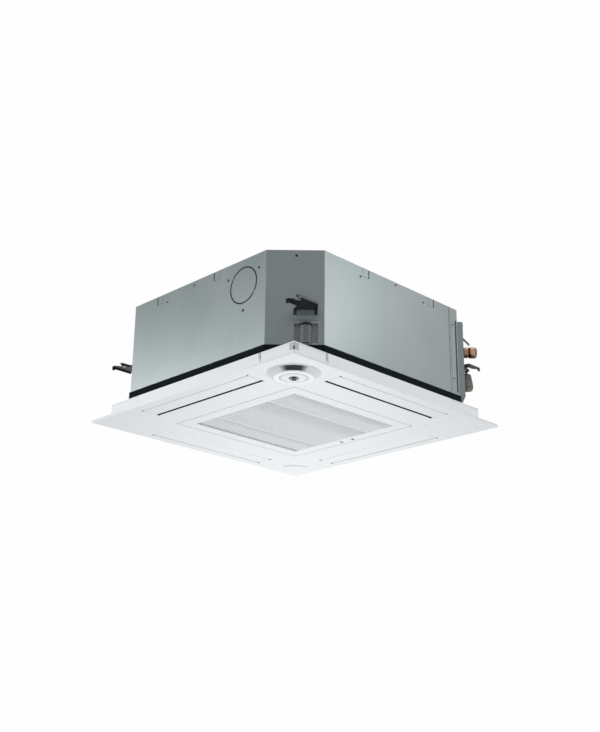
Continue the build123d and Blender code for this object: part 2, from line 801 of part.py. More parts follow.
def build_base_frame():
    """Bottom flange that ties the side sheets, with gussets for the panel's bolts."""
    with BuildPart() as base_frame:
        with BuildSketch(Plane.XY.offset(casing_bottom)):
            outline(octagon(sheet))
            outline(frame_opening(bottom_flange), mode=Mode.SUBTRACT)
            with Locations(*BOLTS):
                Circle(bolt_r + bolt_clearance, mode=Mode.SUBTRACT)
        extrude(amount=sheet)
    return base_frame


def build_top_plate():
    """Lid with pressed beads and tabs that hang into the side sheets' notches."""
    with BuildPart() as top_plate:
        with BuildSketch(Plane.XY.offset(casing_top - sheet)):
            outline(octagon())
        extrude(amount=sheet)
        with BuildSketch(Plane.XY.offset(casing_top)):
            Circle(150)
            Circle(136, mode=Mode.SUBTRACT)
            with PolarLocations(265, 4, start_angle=45):
                SlotOverall(190, 14)
            with PolarLocations(275, 4):
                SlotOverall(170, 14)
        extrude(amount=2.5, taper=30)
        for turn, along in tab_places():
            with BuildSketch(side_section(turn, along)):
                with Locations((half_casing - sheet / 2, casing_top - tab_height / 2)):
                    Rectangle(sheet, tab_height)
            extrude(amount=tab_width / 2, both=True)
    return top_plate


def build_liner():
    """Foamed insulation boards: eight mitred walls above the drain pan, and a roof."""
    with BuildPart() as liner:
        with BuildSketch(Plane.XY.offset(pan_top)):
            outline(octagon(sheet))
            outline(octagon(sheet + liner_wall), mode=Mode.SUBTRACT)
            mitre_gaps(4 * liner_wall)
        extrude(amount=liner_top - liner_wall - sheet_gap - pan_top)
        with BuildSketch(Plane.XY.offset(liner_top - liner_wall)):
            outline(octagon(sheet))
            Circle(100, mode=Mode.SUBTRACT)
        extrude(amount=liner_wall)
        level_box("front_right", (narrow_diagonal - 3 * liner_wall, narrow_diagonal + 5), (-60, 60),
                  (pan_top, cover_top), mode=Mode.SUBTRACT)
        level_box("front_left", (wide_diagonal - port_depth - 1, wide_diagonal), (port_low - 1, port_high + 1),
                  (pan_top, port_top + 1), mode=Mode.SUBTRACT)
        # relief behind the top plate's tabs, and a groove that frees the knock-out
        for turn, along in tab_places():
            plane, half_width = tab_notch(turn, along)
            with BuildSketch(plane):
                with Locations((half_casing - sheet, casing_top - tab_height / 2)):
                    Rectangle(2 * knockout_groove, tab_height + 4 * tab_slot)
            extrude(amount=half_width + tab_slot, both=True, mode=Mode.SUBTRACT)
        with BuildSketch(Plane(origin=(-half_casing, 0, 0), x_dir=(0, -1, 0), z_dir=(-1, 0, 0))):
            with Locations((-knockout_y, knockout_z)):
                Circle(knockout_r + 2 * knockout_slot)
                Circle(knockout_r - 2 * knockout_slot, mode=Mode.SUBTRACT)
        extrude(amount=-sheet - knockout_groove, mode=Mode.SUBTRACT)
    return liner


def build_casing_screws():
    """Pan-head screws in the side sheets: place along the side, drop from the casing's top."""
    by_seam = front_seam + 20
    places = {
        "front": [(138, 34), (-30, 9), (-168, 27), (-by_seam, 61), (-by_seam, 250)],
        "left": [(38, 15), (174, 33)],
        "back": [(-38, 15), (-174, 33)],
        "right": [(by_seam, 61), (30, 9), (168, 27)],
    }
    with BuildPart() as casing_screws:
        for side, spots in places.items():
            outward = Vector(0, -1, 0).rotate(Axis.Z, SIDES[side])
            face = Plane(origin=outward * half_casing, x_dir=Vector(0, 0, 1).cross(outward), z_dir=outward)
            for along, drop in spots:
                with BuildSketch(face):
                    with Locations((-along, casing_top - drop)):
                        Circle(3.5)
                extrude(amount=1.8, taper=20)
        with BuildSketch(pipe_plane(cover_diagonal)):
            with Locations((-34, cover_bottom + 9), (34, cover_bottom + 9), (-34, cover_top - 9), (34, cover_top - 9)):
                Circle(4)
        extrude(amount=3, taper=20)
    return casing_screws


def build_panel_seal():
    """Black foam strips: eight mitred ones between panel and casing, others round intake and ducts."""
    with BuildPart() as panel_seal:
        with BuildSketch(Plane.XY.offset(ring_top)):
            outline(octagon(-seal_proud))
            outline(octagon(seal_width - seal_proud), mode=Mode.SUBTRACT)
            mitre_gaps(3 * seal_width)
        extrude(amount=casing_bottom - ring_top)
        strip = 11.5
        for turn in SIDES.values():
            with BuildSketch(on_side(turn, ring_top)):
                with Locations(((strip + sheet_gap) / 2, -(half_mouth + 2 + strip / 2))):
                    Rectangle(2 * half_mouth + 4 + strip - sheet_gap, strip)
                with Locations((0, -(duct_inner - 5))):
                    Rectangle(2 * duct_half, 10)
            extrude(amount=pan_bottom - ring_top)
    return panel_seal


def build_panel_bolts():
    """Washer-head bolts that hold the panel to the casing's gussets."""
    with BuildPart() as panel_bolts:
        with BuildSketch(Plane.XY.offset(ring_top - moulding)):
            with Locations(*BOLTS):
                Circle(9)
        extrude(amount=-1.5)
        with BuildSketch(Plane.XY.offset(ring_top - moulding - 1.5)):
            with Locations(*BOLTS):
                RegularPolygon(6.5, 6, major_radius=False)
        extrude(amount=-5)
        with BuildSketch(Plane.XY.offset(ring_top - moulding)):
            with Locations(*BOLTS):
                Circle(bolt_r)
        extrude(amount=46)
    return panel_bolts


# =============================================================================
# Corners of the casing: brackets, service port, pipe cover
# =============================================================================
def build_bracket(corner, diagonal, low, high, plate_height):
    """Pressed steel fork on a cut corner. low and high bound its foot along the corner."""
    sign_x, sign_y = CORNERS[corner]
    mirror = sign_x * sign_y

    def foot(place):
        return ((diagonal - place) / ROOT2, (diagonal + place) / ROOT2)

    (ax, ay), (bx, by) = foot(low), foot(high)
    root_outer = max(bx + 5, half_casing - prong_root_x)
    root_inner = max(ax + 4, half_casing - prong_root_y)
    shelf = [
        (ax, ay), (root_inner, prong_inner), (prong_tip, prong_inner),
        (prong_tip, rod_y - mouth_width / 2), (rod_x + 12, rod_y - rod_slot_r),
        (rod_x, rod_y - rod_slot_r), (rod_x, rod_y + rod_slot_r),
        (rod_x + 12, rod_y + rod_slot_r), (prong_tip, rod_y + mouth_width / 2),
        (prong_tip, prong_outer), (root_outer, prong_outer), (bx, by),
    ]
    top = bracket_z + bracket_steel
    with BuildPart() as bracket:
        with BuildSketch(Plane.XY.offset(bracket_z)):
            outline([(sign_x * x, sign_y * y) for x, y in shelf])
            with Locations((sign_x * rod_x, sign_y * rod_y)):
                Circle(rod_slot_r, mode=Mode.SUBTRACT)
        extrude(amount=bracket_steel)
        # flanges folded down along both prongs, deeper at the hooked tips
        for y, start, inward in ((prong_outer, root_outer, -1), (prong_inner, root_inner, 1)):
            wall = Plane(origin=(0, sign_y * y, 0), x_dir=(1, 0, 0), z_dir=(0, -1, 0))
            with BuildSketch(wall):
                outline([
                    (sign_x * start, top), (sign_x * prong_tip, top),
                    (sign_x * prong_tip, bracket_z - bracket_flange),
                    (sign_x * (prong_tip - 7), bracket_z - bracket_flange),
                    (sign_x * (prong_tip - 12), bracket_z - bracket_flange / 2),
                    (sign_x * start, bracket_z - bracket_flange / 2),
                ])
            extrude(amount=-sign_y * inward * bracket_steel)
        # foot on the casing: two legs beside a window, and the screwed strip below
        with BuildSketch(on_chamfer(corner, diagonal)):
            middle = mirror * (low + high) / 2
            with Locations((middle, top - plate_height / 2)):
                Rectangle(high - low, plate_height)
            with Locations((middle, bracket_z)):
                Rectangle(high - low - 2 * leg_width, 2 * min(leg_height, plate_height - 14), mode=Mode.SUBTRACT)
            with Locations((middle, top - bracket_steel / 2)):
                Rectangle(high - low, bracket_steel)
        extrude(amount=bracket_steel)
    return bracket


def bracket_feet():
    """Corner, face it stands on, and its foot's bounds and height."""
    return {
        "front_left": (wide_diagonal, port_low + 1, port_high - 5, 36),
        "back_right": (wide_diagonal, port_low + 1, port_high - 5, 36),
        "back_left": (narrow_diagonal, -12, 50, 36),
        "front_right": (cover_diagonal, -12, 44, 24),
    }


def build_bracket_screws():
    with BuildPart() as bracket_screws:
        for corner, (diagonal, low, high, plate_height) in bracket_feet().items():
            mirror = CORNERS[corner][0] * CORNERS[corner][1]
            height = bracket_z + bracket_steel - plate_height + 7
            with BuildSketch(on_chamfer(corner, diagonal + bracket_steel)):
                with Locations((mirror * (low + 7), height), (mirror * (high - 7), height)):
                    Circle(4.5)
            extrude(amount=3, taper=15)
    return bracket_screws


def build_port():
    """Pocket in the front left corner, its ribbed sleeve and two rubber caps."""
    inner = wide_diagonal - port_depth
    gap = sheet_gap
    with BuildPart() as port_pocket:
        level_box("front_left", (inner, wide_diagonal), (port_low + gap, port_high - gap),
                  (port_bottom + gap, port_top - gap))
        wall = gap + port_wall
        level_box("front_left", (inner + port_wall, wide_diagonal), (port_low + wall, port_high - wall),
                  (port_bottom + wall, port_top - wall), mode=Mode.SUBTRACT)
    save(port_pocket, "port_pocket")

    floor = port_bottom + gap + port_wall
    place = on_chamfer("front_left", inner + port_wall + plug_r + 1.5).from_local_coords((plug_along, 0, 0))
    pitch = sleeve_rib_pitch
    sleeve_top = floor + sleeve_rib_count * pitch - 1
    with BuildPart() as port_sleeve:
        with BuildSketch(Plane(origin=(place.X, place.Y, 0), x_dir=(1, 0, 0), z_dir=(0, -1, 0))):
            profile = [(0, floor)]
            for rib in range(sleeve_rib_count):
                base = floor + rib * pitch
                profile += [(plug_r, base), (plug_r, base + pitch - 3.5), (plug_r - 2, base + pitch - 2.5),
                            (plug_r - 2, base + pitch - 1)]
            outline(profile + [(0, sleeve_top)])
        revolve(axis=Axis((place.X, place.Y, 0), (0, 0, 1)))
    save(port_sleeve, "port_sleeve")

    with BuildPart() as rubber_caps:
        with BuildSketch(Plane.XY.offset(sleeve_top)):
            with Locations((place.X, place.Y)):
                Circle(plug_r + 1)
        extrude(amount=8, taper=15)
        with BuildSketch(pipe_plane(cover_diagonal)):
            with Locations((cap_along, cap_z)):
                Circle(10)
        extrude(amount=20, taper=8)
    save(rubber_caps, "rubber_caps")


def build_pipe_cover():
    """Shallow folded box over the pipe corner, with a bent strip above the gas union."""
    strip_foot, strip_tip = gas_z + 55, gas_z + 30
    with BuildPart() as pipe_cover:
        level_box("front_right", (narrow_diagonal, cover_diagonal), (-cover_half, cover_half),
                  (cover_bottom, cover_top))
        level_box("front_right", (narrow_diagonal, cover_diagonal - sheet),
                  (sheet - cover_half, cover_half - sheet), (cover_bottom + sheet, cover_top - sheet),
                  mode=Mode.SUBTRACT)
        with BuildSketch(pipe_plane(cover_diagonal)):
            with Locations((gas_along, gas_z)):
                Circle(gas_r + 4)
            with Locations((liquid_along, liquid_z)):
                Circle(liquid_r + 4)
            with Locations((drain_along, drain_z)):
                Circle(drain_r + drain_wall + sheet_gap)
        extrude(amount=-2 * sheet, mode=Mode.SUBTRACT)
        plane = pipe_plane(0)
        side = Plane(origin=plane.x_dir * gas_along, x_dir=plane.z_dir, z_dir=plane.z_dir.cross(Vector(0, 0, 1)))
        with BuildSketch(side):
            outline([
                (cover_diagonal, strip_foot), (cover_diagonal + 23, strip_tip),
                (cover_diagonal + 23, strip_tip - 4), (cover_diagonal, strip_foot - 4),
            ])
        extrude(amount=6, both=True)
    return pipe_cover


# =============================================================================
# Refrigerant side
# =============================================================================
def build_coil_fins():
    """Fin block bent round the fan, open at the pipe corner."""
    outer_r = coil_corner_r + coil_depth
    with BuildPart() as coil_fins:
        with BuildSketch(Plane.XY.offset(coil_bottom)):
            RectangleRounded(2 * coil_outer, 2 * coil_outer, outer_r)
            RectangleRounded(2 * coil_inner, 2 * coil_inner, coil_corner_r, mode=Mode.SUBTRACT)
            reach = coil_outer + 5
            outline([(coil_end, -coil_end), (reach, -coil_end), (reach, -reach), (coil_end, -reach)],
                    mode=Mode.SUBTRACT)
        extrude(amount=coil_top - coil_bottom)
    return coil_fins


def coil_ends():
    """Planes on the fin block's two end faces: x runs across the depth, y is the height."""
    middle = (coil_inner + coil_outer) / 2
    return [
        Plane(origin=(coil_end, -middle, 0), x_dir=(0, 1, 0), z_dir=(1, 0, 0)),
        Plane(origin=(middle, -coil_end, 0), x_dir=(1, 0, 0), z_dir=(0, -1, 0)),
    ]


def build_coil_ends():
    """A tube sheet on each end of the fin block, with its row of return bends."""
    plate = 1.5
    rise = (coil_top - coil_bottom) / bend_count
    span = 22.0
    with BuildPart() as coil_ends_part:
        for face in coil_ends():
            with BuildSketch(face):
                with Locations((0, (coil_bottom + coil_top) / 2)):
                    Rectangle(coil_depth, coil_top - coil_bottom)
            extrude(amount=plate)
            for number in range(bend_count):
                height = coil_bottom + (number + 0.5) * rise
                along = (coil_depth / 2 - 6) * (-1 if number % 2 else 1)
                start = Plane(origin=face.from_local_coords((along, height - span / 2, plate)), z_dir=face.z_dir)
                top = face.from_local_coords((along, height + span / 2, plate))
                crown = face.from_local_coords((along, height, plate + span / 2))
                with BuildLine():
                    ThreePointArc(start.origin, crown, top)
                with BuildSketch(start):
                    Circle(tube_r)
                sweep()
    return coil_ends_part


def fitting_profile(bore, thread_r, start):
    """Half section of a turned pipe union, from the axis outwards; x is the radius."""
    return [
        (bore, start), (thread_r + 3, start), (thread_r + 4.5, start + 1.5), (thread_r + 4.5, start + 14),
        (thread_r + 3, start + 15.5), (thread_r, start + 15.5), (thread_r, start + 31),
        (thread_r - 1.5, start + 32), (bore, start + 32),
    ]


def build_pipe_line(along, height, radius, header_r, end, header_bottom, header_top, stub_face):
    """Header with stubs to one end of the coil, its pipe out and the brazed union."""
    plane = pipe_plane(0)
    centre = plane.from_local_coords((along, 0, header_diagonal))
    union = end - 34
    with BuildPart() as line:
        with BuildSketch(Plane.XY.offset(header_bottom)):
            with Locations((centre.X, centre.Y)):
                Circle(header_r)
        extrude(amount=header_top - header_bottom)
        with BuildSketch(pipe_plane(header_diagonal)):
            with Locations((along, height)):
                Circle(radius)
        extrude(amount=union - header_diagonal)
        turned = Plane(origin=plane.from_local_coords((along, height, 0)), x_dir=plane.x_dir,
                       z_dir=Vector(plane.x_dir).cross(plane.z_dir))
        with BuildSketch(turned):
            outline(fitting_profile(0, radius + 4, union))
        revolve(axis=Axis(turned.origin, plane.z_dir))
        # stubs run square from the tube sheet into the header
        for number in range(5):
            place = coil_bottom + 45 + number * (coil_top - coil_bottom - 90) / 4
            local = stub_face.to_local_coords(Vector(centre.X, centre.Y, place))
            with BuildSketch(stub_face.offset(1.5)):
                with Locations((local.X, place)):
                    Circle(tube_r)
            extrude(amount=local.Z - 1.5)
    return line


def build_flare_nut(along, height, radius, across, end):
    """Hexagon nut over the union's thread, open at its outer end for the pipe."""
    length = across * 0.55 + 8
    seat = end - 34 + 17.5
    with BuildPart() as nut:
        with BuildSketch(pipe_plane(seat)):
            with Locations((along, height)):
                RegularPolygon(across / 2, 6, major_radius=False)
        extrude(amount=length)
        chamfer(nut.faces().sort_by(Axis(pipe_plane(0).origin, pipe_plane(0).z_dir))[-1].edges(), 2)
        with BuildSketch(pipe_plane(seat)):
            with Locations((along, height)):
                Circle(radius + 4 + pin_clearance)
        extrude(amount=15, mode=Mode.SUBTRACT)
        with BuildSketch(pipe_plane(seat)):
            with Locations((along, height)):
                Circle(radius + flare_clearance)
        extrude(amount=length, mode=Mode.SUBTRACT)
    return nut


# =============================================================================
# Drain
# =============================================================================
def build_drain_pan():
    """Foamed pan: trough under the coil, sump, outlet slots and the fan's eye."""
    trough = 4.0
    with BuildPart() as drain_pan:
        with BuildSketch(Plane.XY.offset(pan_bottom)):
            outline(octagon(sheet))
            Circle(mouth_r + mouth_curl + 2, mode=Mode.SUBTRACT)
            with Locations(*BOLTS):
                Circle(bolt_r + 2, mode=Mode.SUBTRACT)
        extrude(amount=pan_thickness)
        for turn in SIDES.values():
            with BuildSketch(on_side(turn, pan_bottom)):
                with Locations((0, -(pan_slot_inner + pan_slot_outer) / 2)):
                    Rectangle(2 * pan_slot_half, pan_slot_outer - pan_slot_inner)
            extrude(amount=pan_thickness, mode=Mode.SUBTRACT)
        # seat of the coil, with a water groove below it
        outer, inner = coil_outer + trough, coil_inner - trough
        with BuildSketch(Plane.XY.offset(coil_bottom)):
            RectangleRounded(2 * outer, 2 * outer, coil_corner_r + coil_depth + trough)
            RectangleRounded(2 * inner, 2 * inner, coil_corner_r - trough, mode=Mode.SUBTRACT)
        extrude(amount=pan_top - coil_bottom, mode=Mode.SUBTRACT)
        with BuildSketch(Plane.XY.offset(sump_floor)):
            RectangleRounded(2 * (outer - 14), 2 * (outer - 14), coil_corner_r + 30)
            RectangleRounded(2 * (inner + 14), 2 * (inner + 14), coil_corner_r, mode=Mode.SUBTRACT)
        extrude(amount=coil_bottom - sump_floor, mode=Mode.SUBTRACT)
        level_box("front_right", (header_diagonal + 10, pump_diagonal + pump_r + 4), (-60, 60),
                  (sump_floor, pan_top), mode=Mode.SUBTRACT)
        level_box("front_left", (wide_diagonal - port_depth - 0.3, wide_diagonal),
                  (port_low, port_high), (port_bottom, pan_top), mode=Mode.SUBTRACT)
    return drain_pan


def build_drain_pump():
    """Pump body, its impeller, the delivery hose and the socket outside."""
    place = pipe_plane(pump_diagonal).from_local_coords((drain_along, 0, 0))
    spot = (place.X, place.Y)
    cup_r, rotor_r = 20.0, 14.5
    cup_bottom, cup_top, body_top, head_top = 99.0, 122.0, 172.0, 215.0
    with BuildPart() as drain_pump:
        for radius, low, high in ((cup_r, cup_bottom, cup_top), (pump_r, cup_top, body_top), (17, body_top, head_top)):
            with BuildSketch(Plane.XY.offset(low)):
                with Locations(spot):
                    Circle(radius)
            extrude(amount=high - low)
        with BuildSketch(pipe_plane(pump_diagonal)):
            with Locations((drain_along, drain_z)):
                Circle(8)
        extrude(amount=38)
        with BuildSketch(Plane.XY.offset(cup_bottom)):
            with Locations(spot):
                Circle(rotor_r + 1.5)
        extrude(amount=20, mode=Mode.SUBTRACT)
        with BuildSketch(Plane.XY.offset(cup_bottom)):
            with Locations(spot):
                Circle(2 + pin_clearance)
        extrude(amount=40, mode=Mode.SUBTRACT)
    save(drain_pump, "drain_pump")

    with BuildPart() as pump_impeller:
        with BuildSketch(Plane.XY.offset(cup_bottom + 1)):
            with Locations(spot):
                Circle(2)
        extrude(amount=38)
        with BuildSketch(Plane.XY.offset(cup_bottom + 1)):
            with Locations(spot):
                Circle(4.5)
                with PolarLocations(rotor_r / 2, 4):
                    Rectangle(rotor_r - 0.5, 2)
        extrude(amount=17)
    save(pump_impeller, "pump_impeller")

    with BuildPart() as drain_hose:
        with BuildSketch(pipe_plane(pump_diagonal + pump_r + 1)):
            with Locations((drain_along, drain_z)):
                Circle(8 + 2.5)
                Circle(8 + shaft_clearance, mode=Mode.SUBTRACT)
        extrude(amount=narrow_diagonal - sheet - 1 - pump_diagonal - pump_r - 1)
    save(drain_hose, "drain_hose")

    tail, step, end = narrow_diagonal - 12, narrow_diagonal + 2, cover_diagonal + 30
    with BuildPart() as drain_socket:
        sleeve_r = drain_r + drain_wall
        steps = ((8, tail, step), (sleeve_r, step, end), (sleeve_r + 1.5, cover_diagonal, cover_diagonal + 3))
        for radius, low, high in steps:
            with BuildSketch(pipe_plane(low)):
                with Locations((drain_along, drain_z)):
                    Circle(radius)
            extrude(amount=high - low)
        with BuildSketch(pipe_plane(step + 3)):
            with Locations((drain_along, drain_z)):
                Circle(drain_r)
        extrude(amount=end - step - 3, mode=Mode.SUBTRACT)
        with BuildSketch(pipe_plane(tail)):
            with Locations((drain_along, drain_z)):
                Circle(5.5)
        extrude(amount=20, mode=Mode.SUBTRACT)
    save(drain_socket, "drain_socket")


def build_float_switch():
    """Steel plate that carries pump and float stem, and the float."""
    plate_z, stem_r = 215.0, 4.0
    float_bottom = 108.0
    place = pipe_plane(pump_diagonal).from_local_coords((float_along, 0, 0))
    inside = narrow_diagonal - sheet
    with BuildPart() as pump_bracket:
        level_box("front_right", (pump_diagonal - pump_r - 6, inside), (-48, 44), (plate_z, plate_z + 2))
        level_box("front_right", (inside - 2, inside), (-48, 44), (plate_z - 12, plate_z))
        with BuildSketch(Plane.XY.offset(float_bottom - 3)):
            with Locations((place.X, place.Y)):
                Circle(stem_r)
        extrude(amount=plate_z - float_bottom + 3)
        with BuildSketch(Plane.XY.offset(float_bottom - 3)):
            with Locations((place.X, place.Y)):
                Circle(stem_r + 3)
        extrude(amount=2.7)
    save(pump_bracket, "pump_bracket")

    with BuildPart() as pump_float:
        with BuildSketch(Plane.XY.offset(float_bottom)):
            with Locations((place.X, place.Y)):
                Circle(float_r)
        extrude(amount=22)
        fillet(pump_float.edges(), 3)
        with Locations((place.X, place.Y, float_bottom + 22)):
            Hole(radius=stem_r + pin_clearance, depth=22)
    save(pump_float, "pump_float")


# =============================================================================
# Fan
# =============================================================================
def build_bell_mouth():
    """Rolled inlet ring under the fan."""
    curl = mouth_r + mouth_curl
    throat = mouth_base + mouth_curl
    half = sqrt(0.5)
    inner_curl = mouth_curl - fan_wall
    with BuildPart() as bell_mouth:
        with BuildSketch(Plane.XZ):
            with BuildLine():
                Line((mouth_flange_r, mouth_base), (curl, mouth_base))
                ThreePointArc((curl, mouth_base), (curl - mouth_curl * half, throat - mouth_curl * half),
                              (mouth_r, throat))
                Polyline((mouth_r, throat), (mouth_r, mouth_top), (mouth_r + fan_wall, mouth_top),
                         (mouth_r + fan_wall, throat))
                ThreePointArc((mouth_r + fan_wall, throat),
                              (curl - inner_curl * half, throat - inner_curl * half),
                              (curl, mouth_base + fan_wall))
                Polyline((curl, mouth_base + fan_wall), (mouth_flange_r, mouth_base + fan_wall),
                         (mouth_flange_r, mouth_base))
            make_face()
        revolve(axis=Axis.Z)
    return bell_mouth


def build_fan_shroud():
    """Curled ring that is welded to the blades' lower edges."""
    half = sqrt(0.5)
    inner_curl = shroud_curl - fan_wall
    rise = shroud_z - shroud_curl
    with BuildPart() as fan_shroud:
        with BuildSketch(Plane.XZ):
            with BuildLine():
                Polyline((eye_r, rise), (eye_r, eye_z), (eye_r + fan_wall, eye_z), (eye_r + fan_wall, rise))
                ThreePointArc((eye_r + fan_wall, rise),
                              (shroud_bend_r - inner_curl * half, rise + inner_curl * half),
                              (shroud_bend_r, shroud_z - fan_wall))
                Polyline((shroud_bend_r, shroud_z - fan_wall), (fan_r, shroud_z - fan_wall),
                         (fan_r, shroud_z), (shroud_bend_r, shroud_z))
                ThreePointArc((shroud_bend_r, shroud_z),
                              (shroud_bend_r - shroud_curl * half, rise + shroud_curl * half), (eye_r, rise))
            make_face()
        revolve(axis=Axis.Z)
    return fan_shroud


def build_turbo_fan():
    """Dished hub plate with backward curved blades."""
    half = sqrt(0.5)
    with BuildPart() as turbo_fan:
        with BuildSketch(Plane.XZ):
            outline([
                (shaft_r + shaft_clearance, hub_floor_z - 13), (16, hub_floor_z - 13), (18, hub_floor_z),
                (hub_r, hub_floor_z), (hub_rim_r, fan_plate_z), (fan_r, fan_plate_z),
                (fan_r, fan_plate_z + fan_wall), (hub_rim_r - 1.5, fan_plate_z + fan_wall),
                (hub_r - 1.5, hub_floor_z + fan_wall), (18, hub_floor_z + fan_wall),
                (16, hub_floor_z + 14), (shaft_r + shaft_clearance, hub_floor_z + 14),
            ])
        revolve(axis=Axis.Z)
    lead, crest, trail = (blade_inner_r, 0), (171, -74), (168, -165)
    with BuildSketch() as blade:
        with BuildLine():
            ThreePointArc(lead, crest, trail)
            Line(trail, (trail[0] - 4, trail[1] - 1))
            ThreePointArc((trail[0] - 4, trail[1] - 1), (crest[0] - blade_thickness, crest[1] - 1),
                          (lead[0] - 3, lead[1] - 2))
            Line((lead[0] - 3, lead[1] - 2), lead)
        make_face()
    with BuildPart() as blades:
        with BuildSketch(Plane.XY.offset(eye_z)):
            with PolarLocations(0, blade_count):
                add(blade.sketch)
        extrude(amount=fan_plate_z + 1 - eye_z)
        # the blades fill only the space between the shroud's upper face and the hub plate
        with BuildSketch(Plane.XZ):
            with BuildLine():
                rise = shroud_z - shroud_curl
                Polyline((shroud_bend_r, shroud_z), (fan_r - 1, shroud_z), (fan_r - 1, fan_plate_z + 1),
                         (blade_inner_r - 8, fan_plate_z + 1), (blade_inner_r - 4, 190), (eye_r, rise))
                ThreePointArc((eye_r, rise),
                              (shroud_bend_r - shroud_curl * half, rise + shroud_curl * half),
                              (shroud_bend_r, shroud_z))
            make_face()
        revolve(axis=Axis.Z, mode=Mode.INTERSECT)
    with BuildPart() as whole_fan:
        add(turbo_fan.part)
        add(blades.part)
    return whole_fan


def build_fan_drive():
    """Motor, shaft, nut, rubbers and the mount under the top plate."""
    lug_thickness, rubber_height = 6.0, 10.0
    bore = shaft_r + shaft_clearance
    with BuildPart() as fan_motor:
        with BuildSketch(Plane.XZ):
            outline([
                (bore, 222), (20, 222), (22, 234), (56, 238), (60, 262), (motor_r, 264),
                (motor_r, motor_top - 10), (motor_r - 8, motor_top), (0, motor_top),
                (0, 300), (bore, 300),
            ])
        revolve(axis=Axis.Z)
        with BuildSketch(Plane.XY.offset(motor_top - 10 - lug_thickness)):
            with PolarLocations(motor_lug_place - 4, 3, start_angle=90):
                SlotOverall(40, 22)
        extrude(amount=lug_thickness)
    save(fan_motor, "fan_motor")

    with BuildPart() as motor_shaft:
        with BuildSketch(Plane.XY.offset(172)):
            Circle(shaft_r)
        extrude(amount=127)
    save(motor_shaft, "motor_shaft")

    with BuildPart() as fan_nut:
        with BuildSketch(Plane.XY.offset(hub_floor_z - 13)):
            Circle(14)
            Circle(bore, mode=Mode.SUBTRACT)
        extrude(amount=-2)
        with BuildSketch(Plane.XY.offset(hub_floor_z - 15)):
            RegularPolygon(9.5, 6, major_radius=False)
            Circle(bore, mode=Mode.SUBTRACT)
        extrude(amount=-9)
    save(fan_nut, "fan_nut")

    lug_top = motor_top - 10
    with BuildPart() as motor_rubbers:
        with BuildSketch(Plane.XY.offset(lug_top)):
            with PolarLocations(motor_lug_place + 4, 3, start_angle=90):
                Circle(9)
        extrude(amount=rubber_height)
    save(motor_rubbers, "motor_rubbers")

    with BuildPart() as motor_mount:
        with BuildSketch(Plane.XY.offset(lug_top + rubber_height)):
            with PolarLocations(motor_lug_place + 4, 3, start_angle=90):
                Circle(9)
        extrude(amount=liner_top - lug_top - rubber_height)
        with BuildSketch(Plane.XY.offset(liner_top)):
            Circle(99)
            Circle(40, mode=Mode.SUBTRACT)
        extrude(amount=-2.5)
    save(motor_mount, "motor_mount")


# =============================================================================
# Electrics
# =============================================================================
def build_control_box():
    """Sheet box on the pan's underside, with its lid below."""
    depth = box_outer - box_inner
    middle = (box_outer + box_inner) / 2
    with BuildPart() as control_box:
        with BuildSketch(Plane.XY.offset(box_bottom)):
            with Locations((0, middle)):
                Rectangle(box_length, depth)
        extrude(amount=pan_bottom - box_bottom)
        with BuildSketch(Plane.XY.offset(box_bottom)):
            with Locations((0, middle)):
                Rectangle(box_length - 2 * sheet, depth - 2 * sheet)
        extrude(amount=pan_bottom - box_bottom - sheet, mode=Mode.SUBTRACT)
    save(control_box, "control_box")

    with BuildPart() as control_lid:
        with BuildSketch(Plane.XY.offset(box_bottom)):
            with Locations((0, middle)):
                Rectangle(box_length + 2, depth + 2)
        extrude(amount=-sheet)
        with BuildSketch(Plane.XY.offset(box_bottom - sheet)):
            with Locations((-box_length / 2 + 12, middle), (box_length / 2 - 12, middle)):
                Circle(4)
        extrude(amount=-2, taper=20)
    save(control_lid, "control_lid")


# =============================================================================
# Write every piece
# =============================================================================
save(build_panel_frame(), "panel_frame")
for corner_name in CORNERS:
    save(build_corner_cover(corner_name), f"cover_{corner_name}")
for side_name, side_turn in SIDES.items():
    save(build_vane(side_turn), f"vane_{side_name}")
save(build_vane_motors(), "vane_motors")
save(build_intake_grille(), "intake_grille")
save(build_latch(-1), "latch_front")
save(build_latch(1), "latch_back")
save(build_air_filter(), "air_filter")
build_sensor()
save(build_panel_seal(), "panel_seal")
save(build_panel_bolts(), "panel_bolts")
save(build_casing_front_left(), "casing_front_left")
save(build_casing_back_right(), "casing_back_right")
save(build_pipe_corner_sheet(), "pipe_corner_sheet")
save(build_base_frame(), "base_frame")
save(build_top_plate(), "top_plate")
save(build_liner(), "liner")
save(build_casing_screws(), "casing_screws")
for corner_name, foot_sizes in bracket_feet().items():
    save(build_bracket(corner_name, *foot_sizes), f"bracket_{corner_name}")
save(build_bracket_screws(), "bracket_screws")
build_port()
save(build_pipe_cover(), "pipe_cover")
save(build_coil_fins(), "coil_fins")
save(build_coil_ends(), "coil_ends")
front_end, right_end = coil_ends()
gas_end = cover_diagonal + 36
liquid_end = cover_diagonal + 36
gas_top, liquid_top = coil_top - 20, coil_top - 25
save(build_pipe_line(gas_along, gas_z, gas_r, 11, gas_end, 130, gas_top, front_end), "gas_line")
save(build_pipe_line(liquid_along, liquid_z, liquid_r, 8, liquid_end, 135, liquid_top, right_end), "liquid_line")
save(build_flare_nut(gas_along, gas_z, gas_r, gas_nut_size, gas_end), "gas_nut")
save(build_flare_nut(liquid_along, liquid_z, liquid_r, liquid_nut_size, liquid_end), "liquid_nut")
save(build_drain_pan(), "drain_pan")
build_drain_pump()
build_float_switch()
save(build_bell_mouth(), "bell_mouth")
save(build_turbo_fan(), "turbo_fan")
save(build_fan_shroud(), "fan_shroud")
build_fan_drive()
build_control_box()
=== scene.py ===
"""Ceiling cassette air conditioner: finishes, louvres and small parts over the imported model.

The file is laid out as an add-on and run as a script. Lengths are in metres, in the model's
own frame: +Z is up into the ceiling void, -Y the front, -X the side with the knock-out.
"""
import math

